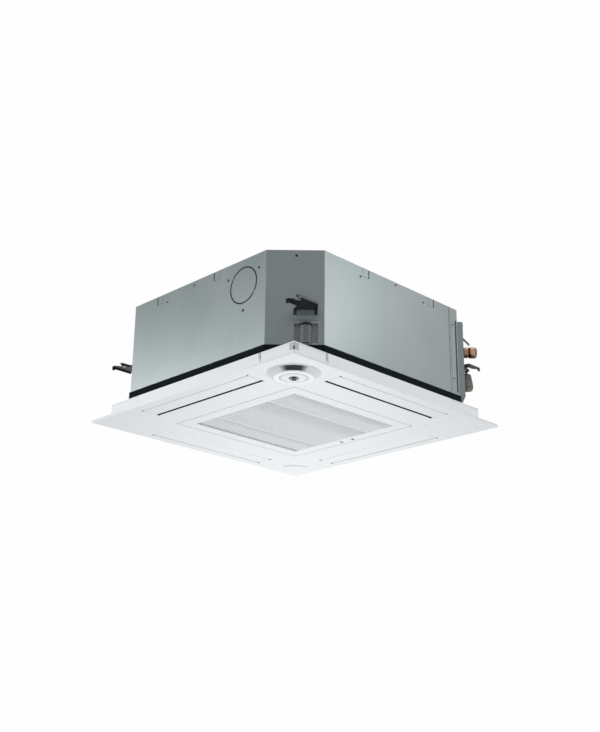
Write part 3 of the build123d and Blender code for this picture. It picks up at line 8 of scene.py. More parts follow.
import bmesh
import bpy
import numpy as np
from bpy.props import FloatProperty, FloatVectorProperty, IntProperty, PointerProperty
from mathutils import Matrix, Vector


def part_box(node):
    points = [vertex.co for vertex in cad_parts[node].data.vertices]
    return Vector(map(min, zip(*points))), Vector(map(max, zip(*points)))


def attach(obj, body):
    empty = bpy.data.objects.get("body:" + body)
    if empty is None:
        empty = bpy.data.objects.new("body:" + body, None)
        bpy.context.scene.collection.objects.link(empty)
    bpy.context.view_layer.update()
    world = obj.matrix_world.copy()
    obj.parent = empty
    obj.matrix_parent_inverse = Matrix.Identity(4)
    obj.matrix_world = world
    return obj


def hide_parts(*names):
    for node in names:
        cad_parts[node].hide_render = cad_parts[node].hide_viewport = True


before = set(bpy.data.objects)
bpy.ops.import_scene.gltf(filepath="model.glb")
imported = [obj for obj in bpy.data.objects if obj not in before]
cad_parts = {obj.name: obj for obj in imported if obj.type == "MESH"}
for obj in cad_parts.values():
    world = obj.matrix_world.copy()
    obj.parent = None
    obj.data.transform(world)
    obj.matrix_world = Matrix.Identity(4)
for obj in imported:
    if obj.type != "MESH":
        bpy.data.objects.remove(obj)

bl_info = {
    "name": "Ceiling cassette",
    "version": (1, 0, 0),
    "blender": (4, 5, 0),
    "location": "3D View > Sidebar > Cassette",
    "description": "Dresses a ceiling cassette air conditioner and its stage",
    "category": "Object",
}


def middle(box):
    """Centre of a box given by its low and high corners."""
    return [sum(pair) / 2 for pair in zip(*box)]


# directions
UP = (0.0, 0.0, 1.0)
ROOT_HALF = math.sqrt(0.5)
TO_NEAR_CORNER = (-ROOT_HALF, -ROOT_HALF, 0.0)
TO_PIPE_CORNER = (ROOT_HALF, -ROOT_HALF, 0.0)
ALONG_PIPE_CORNER = (ROOT_HALF, ROOT_HALF, 0.0)

# places that follow the CAD
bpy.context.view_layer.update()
SENSOR = middle(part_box("sensor_turret"))
SENSOR_AXIS = (SENSOR[0], SENSOR[1], 0.0)
NUT = middle(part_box("gas_nut"))
SOCKET = middle(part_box("drain_socket"))
GRILLE_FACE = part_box("intake_grille")[0][2]
UNDERSIDE, RING_TOP = (corner[2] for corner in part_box("panel_frame"))
VANE_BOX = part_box("vane_front")
SIDES = ("front", "right", "back", "left")

# sizes that the boxes don't give
CASING = 0.420              # half width of the casing's side sheets
VANE_PIN = 0.011            # length of a vane's pivot pins
VANE_GAP = 0.002            # between a vane and the frame, at its ends and its outer edge
VANE_INNER_GAP = 0.0035     # between a vane's inner edge and the frame
DUCT_OUTER = 0.428          # outer wall of the air ducts
VANE_HALF = VANE_BOX[1][0] - VANE_PIN
DUCT_HALF = VANE_HALF + VANE_GAP
DUCT_INNER = -VANE_BOX[1][1] - VANE_INNER_GAP
REBATE = -VANE_BOX[0][1] + VANE_GAP     # outer edge of the rebate that a vane lies in
REBATE_DEPTH = 0.0032       # depth of the rebate above the underside
REBATE_STEP = 0.004         # from there up to the outer wall's lining
LINING_CLEAR = 0.0003       # between the lining's foot and the underside
LINING_DOWN = 0.0002        # between the lining's top and the ring's top
PROUD = 0.0001              # how far a rubber face stands out of the underside
MARK = 0.0003               # thickness of a flat mark on a wall

# louvres: the bands of slots and the dark pieces of painted shade at their back ends, along Y
SLOT_BANDS = [(-0.230, -0.122), (-0.116, 0.116), (0.122, 0.214)]
SLOT_END = (0.2145, 0.2298)
LOUVRE_HEIGHTS = (0.0004, 0.0030)       # above the grille's face
END_BELOW = 0.0002          # how far the dark pieces start below the blades

# beside the vanes: dark posts and flat dark discs of painted shade, inset from the ducts' ends, and
# pale fillets
STOP_SHADE_INSET, STOP_SHADE_HEIGHT = 0.0012, 0.0049
PLUG_SHADE_INSET, PLUG_SHADE_HEIGHT = 0.0035, 0.0010
PLUG_SHADE_OFFSET = 0.0025        # from the duct's inner wall
PLUG_SHADE_WIDER = 1.3            # a plug's radius over a stop's
FILLET_HEIGHTS = (0.0004, 0.0054)       # above the underside
FILLET_OUTER, FILLET_INNER = 0.0032, 0.0008     # short of the rebate's edge, of the inner wall

# section of a vane
VANE_ROLL_SHARE, VANE_LIP_SHARE = 0.13, 0.955   # where the roll ends and the lip starts
VANE_LIP = 0.0022           # rise of the outer edge
VANE_EDGE = 0.0030          # thickness at the edges
VANE_BOW = 0.0012           # more than that in the middle
VANE_THINNEST = 0.0008      # least thickness anywhere
VANE_BACK_LESS = 0.0022     # how much less the back rises than the face at the inner edge
VANE_PIVOT = (0.016, 0.009)             # out from the inner edge, above the underside
CHEEK_RADIUS, CHEEK_DROP = 0.0055, 0.0078       # above the pivot, below it
CHEEK_WIDTH = 0.003         # along the vane
PIN_RADIUS = 0.003

# marks on the casing and the raised ring
SCREW_HEAD = 0.0018         # how far the screws' heads stand out of the sheet
KNOCKOUT = (-0.197, 0.300)              # Y and Z of its centre
KNOCKOUT_ARCS = ((-31, 141), (149, 321))        # degrees, between its two bridges
KNOCKOUT_PROUD = 0.00025    # out of the sheet
RING_CORNER = 0.430         # the ring's walls at its near corner
RING_SIDE = 0.431           # and between its corners
SLIT_DEPTH = 0.0028         # round the corner, along either wall

# flare nut: rows of reach along its axis and radius, in millimetres
NUT_PROFILE = [
    (-13.9, 14.2), (-12.8, 17.2), (-10.5, 19.4), (-4, 20.6), (2, 20.6), (7, 20.0), (10.2, 18.4),
    (12.6, 15.6), (13.6, 13.4), (13.9, 12.2), (13.9, 9.9), (1.5, 9.9), (1.5, 13.8), (-13.9, 13.8),
]
NUT_APOTHEM = 0.018         # half the distance across its flats

# foam sleeve: rows of share of its length and scale of its outline, None for the hole
SLEEVE_ROWS = [(0.0, 1.0), (0.5, 1.0), (0.92, 1.0), (1.0, 0.93), (1.0, None), (0.0, None)]
SLEEVE_WALL = 0.5612        # distance of its inner end from the model's axis
SLEEVE_LENGTH = 0.0305
SLEEVE_LEAN = 0.16          # its outer end's reach lost for each metre upwards
SLEEVE_HALF, SLEEVE_HOLE = 0.027, 0.0214        # half width, radius of the hole
SLEEVE_FOOT, SLEEVE_TOP = -0.0285, 0.031        # from the socket's axis
SLEEVE_FOOT_RISE = 0.005    # of the foot, from the inner end to the outer one
SQUARENESS = 0.6            # power of sine and cosine in the outline

# stage: the axes and place of a camera fitted to the photograph, and the floor
CAMERA_RIGHT = (0.70707928, -0.70704936, 0.01095865)
CAMERA_UP = (-0.24832995, -0.23377059, 0.94004444)
CAMERA_LOOK = (0.66209601, 0.66740731, 0.34087588)
CAMERA_PLACE = (-2.5474, -2.5893, -1.1180)
FLOOR_REACH, FLOOR_LEVEL = 7.0, -2.4


# ---------------------------------------------------------------------------
# Sizes and colours that a user would change
# ---------------------------------------------------------------------------
def colour(name, description, value):
    """A colour property, linear RGB."""
    return FloatVectorProperty(
        name=name, description=description, default=value, subtype="COLOR",
        size=3, min=0.0, max=1.0,
    )


def length(name, description, value):
    """A length property in metres."""
    return FloatProperty(
        name=name, description=description, default=value, unit="LENGTH", subtype="DISTANCE"
    )


def power(name, description, value):
    """A lamp's power in watts."""
    return FloatProperty(name=name, description=description, default=value, unit="POWER", min=0.0)


class CassetteColours(bpy.types.PropertyGroup):
    """Colours of the finishes."""

    panel: colour("Panel", "Moulded panel, covers and vanes", (0.70, 0.722, 0.732))
    grille: colour("Grille", "Intake grille's frame", (0.70, 0.722, 0.732))
    # louvre: the grille's white darkened, painted shade in the slots
    louvre: colour("Louvre", "Blades in the grille's slots", (0.54, 0.562, 0.57))
    casing: colour("Casing", "Galvanised side sheets", (0.246, 0.278, 0.281))
    # bracket: the shelf's dark coating, and painted shade on the legs
    bracket: colour("Bracket", "Suspension brackets", (0.018, 0.020, 0.024))
    # sensor: the panel's white made brighter, painted highlight on the skirt
    sensor: colour("Sensor", "Skirt round the sensor", (0.79, 0.815, 0.825))
    # lining: near black, painted shade inside the casing's liner and the air ducts
    lining: colour("Lining", "Dark insulation inside casing and ducts", (0.022, 0.024, 0.027))
    foam: colour("Foam", "Black closed-cell foam", (0.006, 0.009, 0.010))
    copper: colour("Copper", "Pipes", (0.42, 0.26, 0.19))
    brass: colour("Brass", "Flare nuts", (0.62, 0.37, 0.25))


class CassetteSizes(bpy.types.PropertyGroup):
    """Sizes of the pieces made here."""

    slot_pitch: length("Slot pitch", "Distance between the grille's slots", 0.0115)
    slot_width: length("Slot width", "Open width of a slot", 0.0064)
    slot_count: IntProperty(name="Slots", description="Slots side by side in one band", default=40)
    blade_thickness: length("Blade thickness", "Wall of a louvre blade", 0.0008)
    lining_thickness: length("Lining", "Skin of the duct lining", 0.0006)
    # the stops beside the vanes are dark posts of painted shade in the round reliefs
    stop_shade_radius: length("Vane stop", "Radius of the rubber stops beside the vanes", 0.0036)
    end_fillet: length("End fillet", "Width of the pale fillets at the vanes' ends", 0.0015)
    vane_roll: length("Vane roll", "Rise of the vanes' inner edge", 0.0044)
    # each screw's recess is a flat dark disc of painted shade
    recess_shade_radius: length("Recess", "Radius of the dark recesses in the casing's screws", 0.0029)
    knockout_inner: length("Knock-out, inner", "Inner radius of the knock-out's edge", 0.0556)
    knockout_outer: length("Knock-out, outer", "Outer radius of the knock-out's edge", 0.0606)


class CassetteStage(bpy.types.PropertyGroup):
    """Camera and light."""

    lens: FloatProperty(name="Lens", description="Focal length", default=56.477, unit="CAMERA")
    ambient: FloatProperty(name="Ambient", description="Strength of the world's light",
                           default=0.657)
    left_light: power("Left light", "Soft light on the left side", 2.1)
    right_light: power("Right light", "Soft light on the front", 18.1)
    near_light: power("Near light", "Soft light below the near corner", 0.05)
    far_light: power("Far light", "Soft light below the far corner", 36.5)
    edge_light: power("Edge light", "Small light on the near end of the front", 4.14)
    top_light: power("Top light", "Soft light above the casing", 26.0)


# ---------------------------------------------------------------------------
# Finishes
# ---------------------------------------------------------------------------
class Finish:
    """A node material under construction: a Principled shader on Object coordinates."""

    def __init__(self, name, base, roughness, metallic=0.0, **sockets):
        self.material = bpy.data.materials.new(name)
        self.material.use_nodes = True
        self.nodes = self.material.node_tree.nodes
        self.links = self.material.node_tree.links
        self.shader = self.nodes["Principled BSDF"]
        self.base = tuple(base)
        self.shader.inputs["Base Color"].default_value = (*base, 1.0)
        self.shader.inputs["Roughness"].default_value = roughness
        self.shader.inputs["Metallic"].default_value = metallic
        for socket, value in sockets.items():
            self.shader.inputs[socket.replace("_", " ")].default_value = value
        self.place = self.nodes.new("ShaderNodeTexCoord").outputs["Object"]
        self.normal = None

    def noise(self, scale, detail=3.0, stretch=(1, 1, 1)):
        """Cloudy factor with about that many features a metre, fewer where it is stretched."""
        node = self.nodes.new("ShaderNodeTexNoise")
        node.inputs["Scale"].default_value = scale
        node.inputs["Detail"].default_value = detail
        mapping = self.nodes.new("ShaderNodeMapping")
        mapping.inputs["Scale"].default_value = stretch
        self.links.new(self.place, mapping.inputs["Vector"])
        self.links.new(mapping.outputs["Vector"], node.inputs["Vector"])
        return node.outputs["Fac"]

    def cells(self, scale, output="Distance"):
        """Rounded cells, about that many a metre."""
        node = self.nodes.new("ShaderNodeTexVoronoi")
        node.inputs["Scale"].default_value = scale
        self.links.new(self.place, node.inputs["Vector"])
        return node.outputs[output]

    def bands(self, scale, direction):
        """Straight waves, 0.314 / scale metres apart along an axis, or twice that if diagonal."""
        node = self.nodes.new("ShaderNodeTexWave")
        node.wave_type = "BANDS"
        node.bands_direction = direction
        node.inputs["Scale"].default_value = scale
        self.links.new(self.place, node.inputs["Vector"])
        return node.outputs["Fac"]

    def remap(self, value, low, high, out_low=0.0, out_high=1.0):
        """One range turned into another, and held at its two ends."""
        node = self.nodes.new("ShaderNodeMapRange")
        node.inputs["From Min"].default_value = low
        node.inputs["From Max"].default_value = high
        node.inputs["To Min"].default_value = out_low
        node.inputs["To Max"].default_value = out_high
        self.links.new(value, node.inputs["Value"])
        return node.outputs["Result"]

    def combine(self, operation, *values):
        """One maths operation on sockets or numbers."""
        node = self.nodes.new("ShaderNodeMath")
        node.operation = operation
        for socket, value in zip(node.inputs, values):
            if isinstance(value, (int, float)):
                socket.default_value = value
            else:
                self.links.new(value, socket)
        return node.outputs["Value"]

    def vector(self, operation, first, second=None):
        """One operation on a vector socket, and on a constant vector where it takes two."""
        node = self.nodes.new("ShaderNodeVectorMath")
        node.operation = operation
        self.links.new(first, node.inputs[0])
        if second is not None:
            node.inputs[1].default_value = second
        return node.outputs["Value" if operation == "DOT_PRODUCT" else "Vector"]

    def blend(self, factor, low, high):
        """Base colour between two given colours."""
        node = self.nodes.new("ShaderNodeMix")
        node.data_type = "RGBA"
        for name, tone in (("A", low), ("B", high)):
            socket = [s for s in node.inputs if s.name == name and s.type == "RGBA"][0]
            socket.default_value = (*[min(1.0, channel) for channel in tone], 1.0)
        self.links.new(factor, node.inputs["Factor"])
        result = [s for s in node.outputs if s.type == "RGBA"][0]
        self.links.new(result, self.shader.inputs["Base Color"])

    def tint(self, factor, low, high):
        """Base colour between two multiples of the finish's own colour."""
        self.blend(factor, *(np.multiply(self.base, amount).tolist() for amount in (low, high)))

    def sheen_variation(self, factor, low, high):
        """Roughness between two values."""
        self.links.new(self.remap(factor, 0.3, 0.7, low, high), self.shader.inputs["Roughness"])

    def relief(self, height, depth, strength=1.0):
        """Bump of that depth in metres, stacked on any bump before it."""
        node = self.nodes.new("ShaderNodeBump")
        node.inputs["Strength"].default_value = strength
        node.inputs["Distance"].default_value = depth
        self.links.new(height, node.inputs["Height"])
        if self.normal is not None:
            self.links.new(self.normal, node.inputs["Normal"])
        self.normal = node.outputs["Normal"]
        self.links.new(self.normal, self.shader.inputs["Normal"])


def moulded_plastic(name, base, roughness=0.42):
    """Injection moulded plastic: fine spark texture, faint flow variation."""
    finish = Finish(name, base, roughness, Specular_IOR_Level=0.45)
    finish.tint(finish.noise(3.2, 2.0), 0.975, 1.02)
    finish.relief(finish.noise(1400.0, 2.0), 0.00006)
    finish.relief(finish.noise(14.0, 1.0), 0.0006, 0.25)
    return finish.material


def galvanised_sheet(name, base):
    """Zinc coated steel: soft spangle, faint vertical rolling streaks and cloudy patches."""
    finish = Finish(name, base, 0.36, metallic=0.42, Specular_IOR_Level=0.4)
    cloud = finish.noise(2.6)
    spangle = finish.nodes.new("ShaderNodeSeparateColor")
    finish.links.new(finish.cells(95.0, output="Color"), spangle.inputs["Color"])
    streak = finish.noise(38.0, stretch=(1.0, 1.0, 0.04))
    tone = finish.combine("MULTIPLY_ADD", streak, 0.18, cloud)
    tone = finish.combine("MULTIPLY_ADD", spangle.outputs["Red"], 0.10, tone)
    finish.tint(finish.remap(tone, 0.38, 0.88), (0.90, 0.955, 0.945), (1.10, 1.06, 1.07))
    finish.sheen_variation(cloud, 0.33, 0.40)
    finish.relief(finish.noise(420.0), 0.00004)
    finish.relief(cloud, 0.004, 0.12)
    return finish.material


def zinc_plate(name, base, roughness=0.34, metallic=0.85):
    """Plated or turned metal with a fine grain and faint stains."""
    finish = Finish(name, base, roughness, metallic=metallic)
    finish.tint(finish.noise(55.0, 4.0), 0.80, 1.12)
    finish.sheen_variation(finish.noise(120.0), roughness - 0.06, roughness + 0.1)
    finish.relief(finish.noise(900.0, 2.0), 0.00005)
    return finish.material


def drawn_copper(name, base):
    """Copper tube with heat stains and a fine grain."""
    finish = Finish(name, base, 0.30, metallic=0.9)
    stain = finish.noise(45.0, 4.0)
    finish.tint(stain, (0.62, 0.55, 0.5), (1.15, 1.12, 1.08))
    finish.sheen_variation(stain, 0.24, 0.42)
    finish.relief(finish.noise(700.0, 2.0), 0.00004)
    return finish.material


def closed_cell_foam(name, base):
    """Black foam strip: skin with fine closed cells."""
    finish = Finish(name, base, 1.0, Specular_IOR_Level=0.06)
    finish.tint(finish.noise(160.0), 0.7, 1.6)
    finish.relief(finish.cells(900.0), 0.0003, 0.7)
    finish.relief(finish.noise(60.0, 2.0), 0.0008, 0.4)
    return finish.material


def beaded_foam(name, base):
    """Moulded bead foam: rounded cells a few millimetres across."""
    finish = Finish(name, base, 0.75, Specular_IOR_Level=0.3)
    bead = finish.cells(260.0)
    finish.tint(finish.remap(bead, 0.2, 0.75), 1.03, 0.88)
    finish.relief(finish.combine("MULTIPLY", bead, -1.0), 0.0006, 0.8)
    return finish.material


def fin_pack(name, base):
    """Coil: thin fins as slanted waves 3.2 mm apart along each axis, slightly uneven."""
    finish = Finish(name, base, 0.38, metallic=0.8)
    fins = finish.bands(195.0, "DIAGONAL")
    finish.tint(fins, 0.42, 1.08)
    finish.relief(fins, 0.0006, 0.9)
    finish.relief(finish.noise(70.0, 2.0), 0.0008, 0.3)
    return finish.material


def filter_net(name, base):
    """Woven net: crossed threads 1.8 mm apart."""
    finish = Finish(name, base, 0.7)
    weave = finish.combine("MAXIMUM", finish.bands(175.0, "X"), finish.bands(175.0, "Y"))
    finish.tint(weave, 0.30, 1.5)
    finish.relief(weave, 0.0004, 0.9)
    return finish.material


def rubber(name, base):
    """Moulded black rubber, faintly uneven."""
    finish = Finish(name, base, 0.62, Specular_IOR_Level=0.35)
    finish.tint(finish.noise(80.0), 0.8, 1.5)
    finish.relief(finish.noise(700.0, 2.0), 0.00008)
    return finish.material


def facing(finish, centre, direction, low, high):
    """Factor from 0 to 1 as the direction away from an upright axis turns to a given one."""
    level = finish.vector("MULTIPLY", finish.vector("SUBTRACT", finish.place, centre), (1, 1, 0))
    unit = finish.vector("NORMALIZE", level)
    return finish.remap(finish.vector("DOT_PRODUCT", unit, direction), low, high)


def off_plane(finish, centre, direction):
    """Distance in metres from the plane through centre that is square to direction."""
    away = finish.vector("SUBTRACT", finish.place, centre)
    return finish.combine("ABSOLUTE", finish.vector("DOT_PRODUCT", away, direction))


def brass_painted_dark_ends(name, base, centre, axis):
    """Turned brass with a painted dark reflection towards both ends of the piece."""
    finish = Finish(name, base, 0.22, metallic=0.9)
    reach = off_plane(finish, centre, axis)
    grain = finish.combine("MULTIPLY_ADD", finish.noise(60.0), 0.004, reach)
    finish.blend(finish.remap(grain, 0.0075, 0.0125), base, (0.10, 0.05, 0.03))
    finish.relief(finish.noise(900.0, 2.0), 0.00005)
    return finish.material


def mottled_foam(name, base):
    """Brown grey foam with darker and lighter patches."""
    finish = Finish(name, base, 0.8, Specular_IOR_Level=0.25)
    finish.tint(finish.remap(finish.noise(55.0, 4.0), 0.3, 0.7), 0.65, 1.35)
    finish.relief(finish.noise(160.0), 0.0010, 0.6)
    return finish.material


def infrared_window(name, panel):
    """Dark window in the skirt whose two ends fade into a painted highlight, a white brighter than
    the skirt's.
    """
    finish = Finish(name, panel, 0.25, Specular_IOR_Level=0.5)
    # the ends' white is the panel's made brighter: painted highlight on the skirt's sides
    skirt = [channel * 1.34 for channel in panel]
    fade = facing(finish, SENSOR_AXIS, TO_NEAR_CORNER, 0.80, 0.955)
    finish.blend(fade, skirt, (0.012, 0.014, 0.016))
    finish.relief(finish.noise(900.0, 2.0), 0.00003)
    return finish.material


def sensor_lens(name):
    """Grey dome with a dark window across its middle."""
    finish = Finish(name, (0.3, 0.3, 0.3), 0.45, Specular_IOR_Level=0.12)
    side = finish.remap(off_plane(finish, SENSOR_AXIS, TO_PIPE_CORNER), 0.0055, 0.0085)
    finish.blend(side, (0.004, 0.004, 0.005), (0.30, 0.32, 0.33))
    return finish.material


def bracket_steel(name, dark, sheet):
    """Plated steel, near black above: the shelf's dark coating and painted shade on the legs; the
    casing's zinc colour on the screwed strip below.
    """
    finish = Finish(name, dark, 0.42, metallic=0.2)
    split = finish.nodes.new("ShaderNodeSeparateXYZ")
    finish.links.new(finish.place, split.inputs[0])
    grain = finish.combine("MULTIPLY_ADD", finish.noise(90.0), 0.002, split.outputs["Z"])
    finish.blend(finish.remap(grain, 0.1735, 0.1755), sheet, dark)
    finish.relief(finish.noise(900.0, 2.0), 0.00005)
    return finish.material


def assign(node, material):
    """Put a finish on every material slot of a CAD node."""
    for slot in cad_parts[node].material_slots:
        slot.material = material


def panel_white():
    """The finish that the finishes' operator gave the panel."""
    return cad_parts["panel_frame"].material_slots[0].material


# ---------------------------------------------------------------------------
# Surfaces
# ---------------------------------------------------------------------------
def mesh_object(name, points, faces, material, smooth=True):
    """An object at the origin from an array of points and an array of triangles or quads."""
    mesh = bpy.data.meshes.new(name)
    mesh.from_pydata(points.reshape(-1, 3).tolist(), [], faces.tolist())
    mesh.materials.append(material)
    mesh.polygons.foreach_set("use_smooth", np.full(len(mesh.polygons), smooth))
    mesh.update()
    made = bpy.data.objects.new(name, mesh)
    bpy.context.scene.collection.objects.link(made)
    return made


def outward(made):
    """Recalculate a closed mesh's normals outwards."""
    work = bmesh.new()
    work.from_mesh(made.data)
    bmesh.ops.remove_doubles(work, verts=work.verts, dist=1e-7)
    bmesh.ops.recalc_face_normals(work, faces=work.faces)
    work.to_mesh(made.data)
    work.free()
    return made


def grid_faces(rows, columns, wrap_rows=False, wrap_columns=False):
    """Quads of a rows x columns grid of points, wound so that row x column points outwards."""
    row_count = rows if wrap_rows else rows - 1
    column_count = columns if wrap_columns else columns - 1
    row, column = np.meshgrid(np.arange(row_count), np.arange(column_count), indexing="ij")
    below, beside = (row + 1) % rows, (column + 1) % columns
    quads = np.stack([row * columns + column, below * columns + column,
                      below * columns + beside, row * columns + beside], axis=-1)
    return quads.reshape(-1, 4)


def ring(count, right, up):
    """Unit circle of points in the plane of two unit directions, from right towards up."""
    angle = np.linspace(0, 2 * np.pi, count, endpoint=False)
    return np.cos(angle)[:, None] * np.array(right) + np.sin(angle)[:, None] * np.array(up)


def prism(profile, starts, ends):
    """Closed bars: one outline of (k, 3) offsets carried from each start to each end.

    Returns points (bars * 2k, 3) and quads, with fans of quads over both ends for an even k.
    """
    count, k = len(starts), len(profile)
    points = np.stack([starts[:, None] + profile[None], ends[:, None] + profile[None]], axis=1)
    side = grid_faces(2, k, wrap_columns=True)
    half = np.arange(k // 2 - 1)
    cap = np.stack([half, half + 1, k - 2 - half, k - 1 - half], axis=-1)
    one = np.concatenate([side, cap, cap[:, ::-1] + k])
    faces = (one[None] + (np.arange(count) * 2 * k)[:, None, None]).reshape(-1, 4)
    return points.reshape(-1, 3), faces


def posts(spots, radius, low, high):
    """Upright round posts on (x, y) spots, between two heights."""
    starts, ends = (np.column_stack([spots, np.full(len(spots), z)]) for z in (low, high))
    return prism(ring(16, (1, 0, 0), (0, 1, 0)) * radius, starts, ends)


def discs(spots, away, along):
    """Thin round marks on an upright wall.

    A spot is (x, y, z, radius); away is the wall's outward direction and along its level one.
    """
    circle = ring(16, along, UP)
    shapes = []
    for *spot, radius in spots:
        start = np.array([spot])
        shapes.append(prism(circle * radius, start, start + np.array(away) * MARK))
    return joined(shapes)


def boxes(bounds):
    """Points and quads of boxes given as (low corner, high corner)."""
    low, high = (np.array([pair[end] for pair in bounds]) for end in (0, 1))
    pick = np.array([(0, 0, 0), (1, 0, 0), (1, 1, 0), (0, 1, 0),
                     (0, 0, 1), (1, 0, 1), (1, 1, 1), (0, 1, 1)])
    quads = np.array([(0, 3, 2, 1), (4, 5, 6, 7), (0, 1, 5, 4),
                      (1, 2, 6, 5), (2, 3, 7, 6), (3, 0, 4, 7)])
    points = low[:, None] + (high - low)[:, None] * pick[None]
    faces = quads[None] + (np.arange(len(low)) * len(pick))[:, None, None]
    return points.reshape(-1, 3), faces.reshape(-1, 4)


def joined(shapes):
    """Several (points, faces) pairs as one."""
    points, faces, start = [], [], 0
    for some, quads in shapes:
        points.append(some)
        faces.append(quads + start)
        start += len(some)
    return np.concatenate(points), np.concatenate(faces)


def quarter_turned(plates):
    """Boxes of the front side with their copies on the right, back and left."""
    turned = []
    for (x0, y0, z0), (x1, y1, z1) in plates:
        turned += [
            ((x0, y0, z0), (x1, y1, z1)), ((-y1, x0, z0), (-y0, x1, z1)),
            ((-x1, -y1, z0), (-x0, -y0, z1)), ((y0, -x1, z0), (y1, -x0, z1)),
        ]
    return turned


def quarter_places(spots):
    """Points of the front side with their copies on the right, back and left."""
    x, y = np.array(spots).T
    turned = ((x, y), (-y, x), (-x, -y), (y, -x))
    return np.concatenate([np.column_stack(pair) for pair in turned])


# ---------------------------------------------------------------------------
# Operators
# ---------------------------------------------------------------------------
class CASSETTE_OT_finishes(bpy.types.Operator):
    """Give every CAD node its procedural finish"""

    bl_idname = "cassette.finishes"
    bl_label = "Finishes"

    def execute(self, context):
        colours = context.scene.cassette_colours
        finishes = [
            (moulded_plastic("panel white", colours.panel),
             ["panel_frame", "vane_front", "vane_right", "vane_back", "vane_left",
              "sensor_turret", "cover_front_left", "cover_front_right",
              "cover_back_right", "cover_back_left"]),
            # the skirt's brighter white is painted highlight
            (moulded_plastic("sensor white", colours.sensor), ["sensor_base"]),
            (moulded_plastic("grille white", colours.grille), ["intake_grille"]),
            # the latches' dark grey is painted shade of the grille's latch slots
            (moulded_plastic("latch grey", (0.10, 0.11, 0.115), 0.5),
             ["latch_front", "latch_back"]),
            (galvanised_sheet("galvanised sheet", colours.casing),
             ["casing_front_left", "casing_back_right", "pipe_corner_sheet", "base_frame",
              "top_plate", "pipe_cover", "control_box", "control_lid", "pump_bracket",
              "motor_mount", "coil_ends"]),
            # near black above: the shelf's coating and painted shade on the legs
            (bracket_steel("dark zinc", colours.bracket, colours.casing),
             ["bracket_front_left", "bracket_front_right",
              "bracket_back_right", "bracket_back_left"]),
            (zinc_plate("bright zinc", (0.42, 0.44, 0.45)),
             ["casing_screws", "bracket_screws", "panel_bolts", "motor_shaft", "fan_nut"]),
            (zinc_plate("motor can", (0.50, 0.51, 0.52), 0.4, 0.6),
             ["fan_motor", "vane_motors", "sensor_motor"]),
            (closed_cell_foam("black foam", colours.foam), ["panel_seal"]),
            (beaded_foam("bead foam", (0.62, 0.63, 0.62)), ["drain_pan"]),
            # the liner's bead foam is white; its near black is painted shade behind the casing's
            # slots and seams
            (beaded_foam("dark lining", colours.lining), ["liner"]),
            (fin_pack("coil fins", (0.62, 0.67, 0.70)), ["coil_fins"]),
            (drawn_copper("copper tube", colours.copper), ["gas_line", "liquid_line"]),
            (zinc_plate("turned brass", colours.brass, 0.28, 0.9), ["gas_nut", "liquid_nut"]),
            (filter_net("filter net", (0.05, 0.055, 0.06)), ["air_filter"]),
            (rubber("black rubber", (0.012, 0.012, 0.014)),
             ["rubber_caps", "motor_rubbers", "drain_hose"]),
            (moulded_plastic("dark plastic", (0.075, 0.085, 0.088), 0.5),
             ["bell_mouth", "drain_pump"]),
            # the pocket's grey is lightened as painted light in its shaded recess, the sleeve's
            # darkened as painted shade where it faces the light
            (moulded_plastic("pocket grey", (0.46, 0.49, 0.49), 0.5), ["port_pocket"]),
            (moulded_plastic("sleeve grey", (0.15, 0.165, 0.165), 0.5), ["port_sleeve"]),
            (moulded_plastic("grey plastic", (0.20, 0.18, 0.165), 0.5),
             ["drain_socket", "pump_impeller", "pump_float"]),
            (moulded_plastic("fan plastic", (0.10, 0.11, 0.115), 0.5),
             ["turbo_fan", "fan_shroud"]),
            (infrared_window("infrared window", colours.panel), ["sensor_window"]),
            (sensor_lens("lens grey"), ["sensor_lens"]),
        ]
        done = set()
        for material, nodes in finishes:
            for node in nodes:
                assign(node, material)
                done.add(node)
        missing = set(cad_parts) - done
        if missing:
            raise RuntimeError("no finish for " + ", ".join(sorted(missing)))
        return {"FINISHED"}


class CASSETTE_OT_louvres(bpy.types.Operator):
    """Slanted blades in the grille's slots, greyer than the grille as painted shade, and a dark end
    piece of painted shade at the back of each slot
    """

    bl_idname = "cassette.louvres"
    bl_label = "Grille louvres"

    def execute(self, context):
        # A blade is an S-curved sheet: across the slot it falls from the left wall's top to the
        # right wall's foot by a cosine, and it is carried straight along Y through one band.
        sizes = context.scene.cassette_sizes
        width, thickness = sizes.slot_width, sizes.blade_thickness
        low, high = (GRILLE_FACE + height for height in LOUVRE_HEIGHTS)
        place = (np.arange(sizes.slot_count) - (sizes.slot_count - 1) / 2) * sizes.slot_pitch
        share = np.linspace(0.0, 1.0, 7)
        fall = (high - low - thickness) * (0.5 + 0.5 * np.cos(np.pi * share))
        lower = np.stack([(share - 0.5) * width, 0 * share, low + fall], axis=1)
        upper = lower[::-1] + [0, 0, thickness]
        starts = np.array([(x, y0, 0.0) for x in place for y0, _ in SLOT_BANDS])
        ends = np.array([(x, y1, 0.0) for x in place for _, y1 in SLOT_BANDS])
        points, faces = prism(np.concatenate([lower, upper]), starts, ends)
        # the blades' grey is the grille's white darkened: painted shade in the slots
        material = moulded_plastic("louvre white", context.scene.cassette_colours.louvre, 0.6)
        louvres = outward(mesh_object("grille_louvres", points, faces, material))
        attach(louvres, "grille")

        # the end pieces are plain dark blocks as wide as the slots, painted shade at the slots'
        # back ends
        front, back = SLOT_END
        low -= END_BELOW
        points, faces = boxes([((x - width / 2, front, low), (x + width / 2, back, high))
                               for x in place])
        dark = rubber("slot dark", (0.02, 0.021, 0.023))
        stops = outward(mesh_object("grille_slot_ends", points, faces, dark, smooth=False))
        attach(stops, "grille")
        return {"FINISHED"}


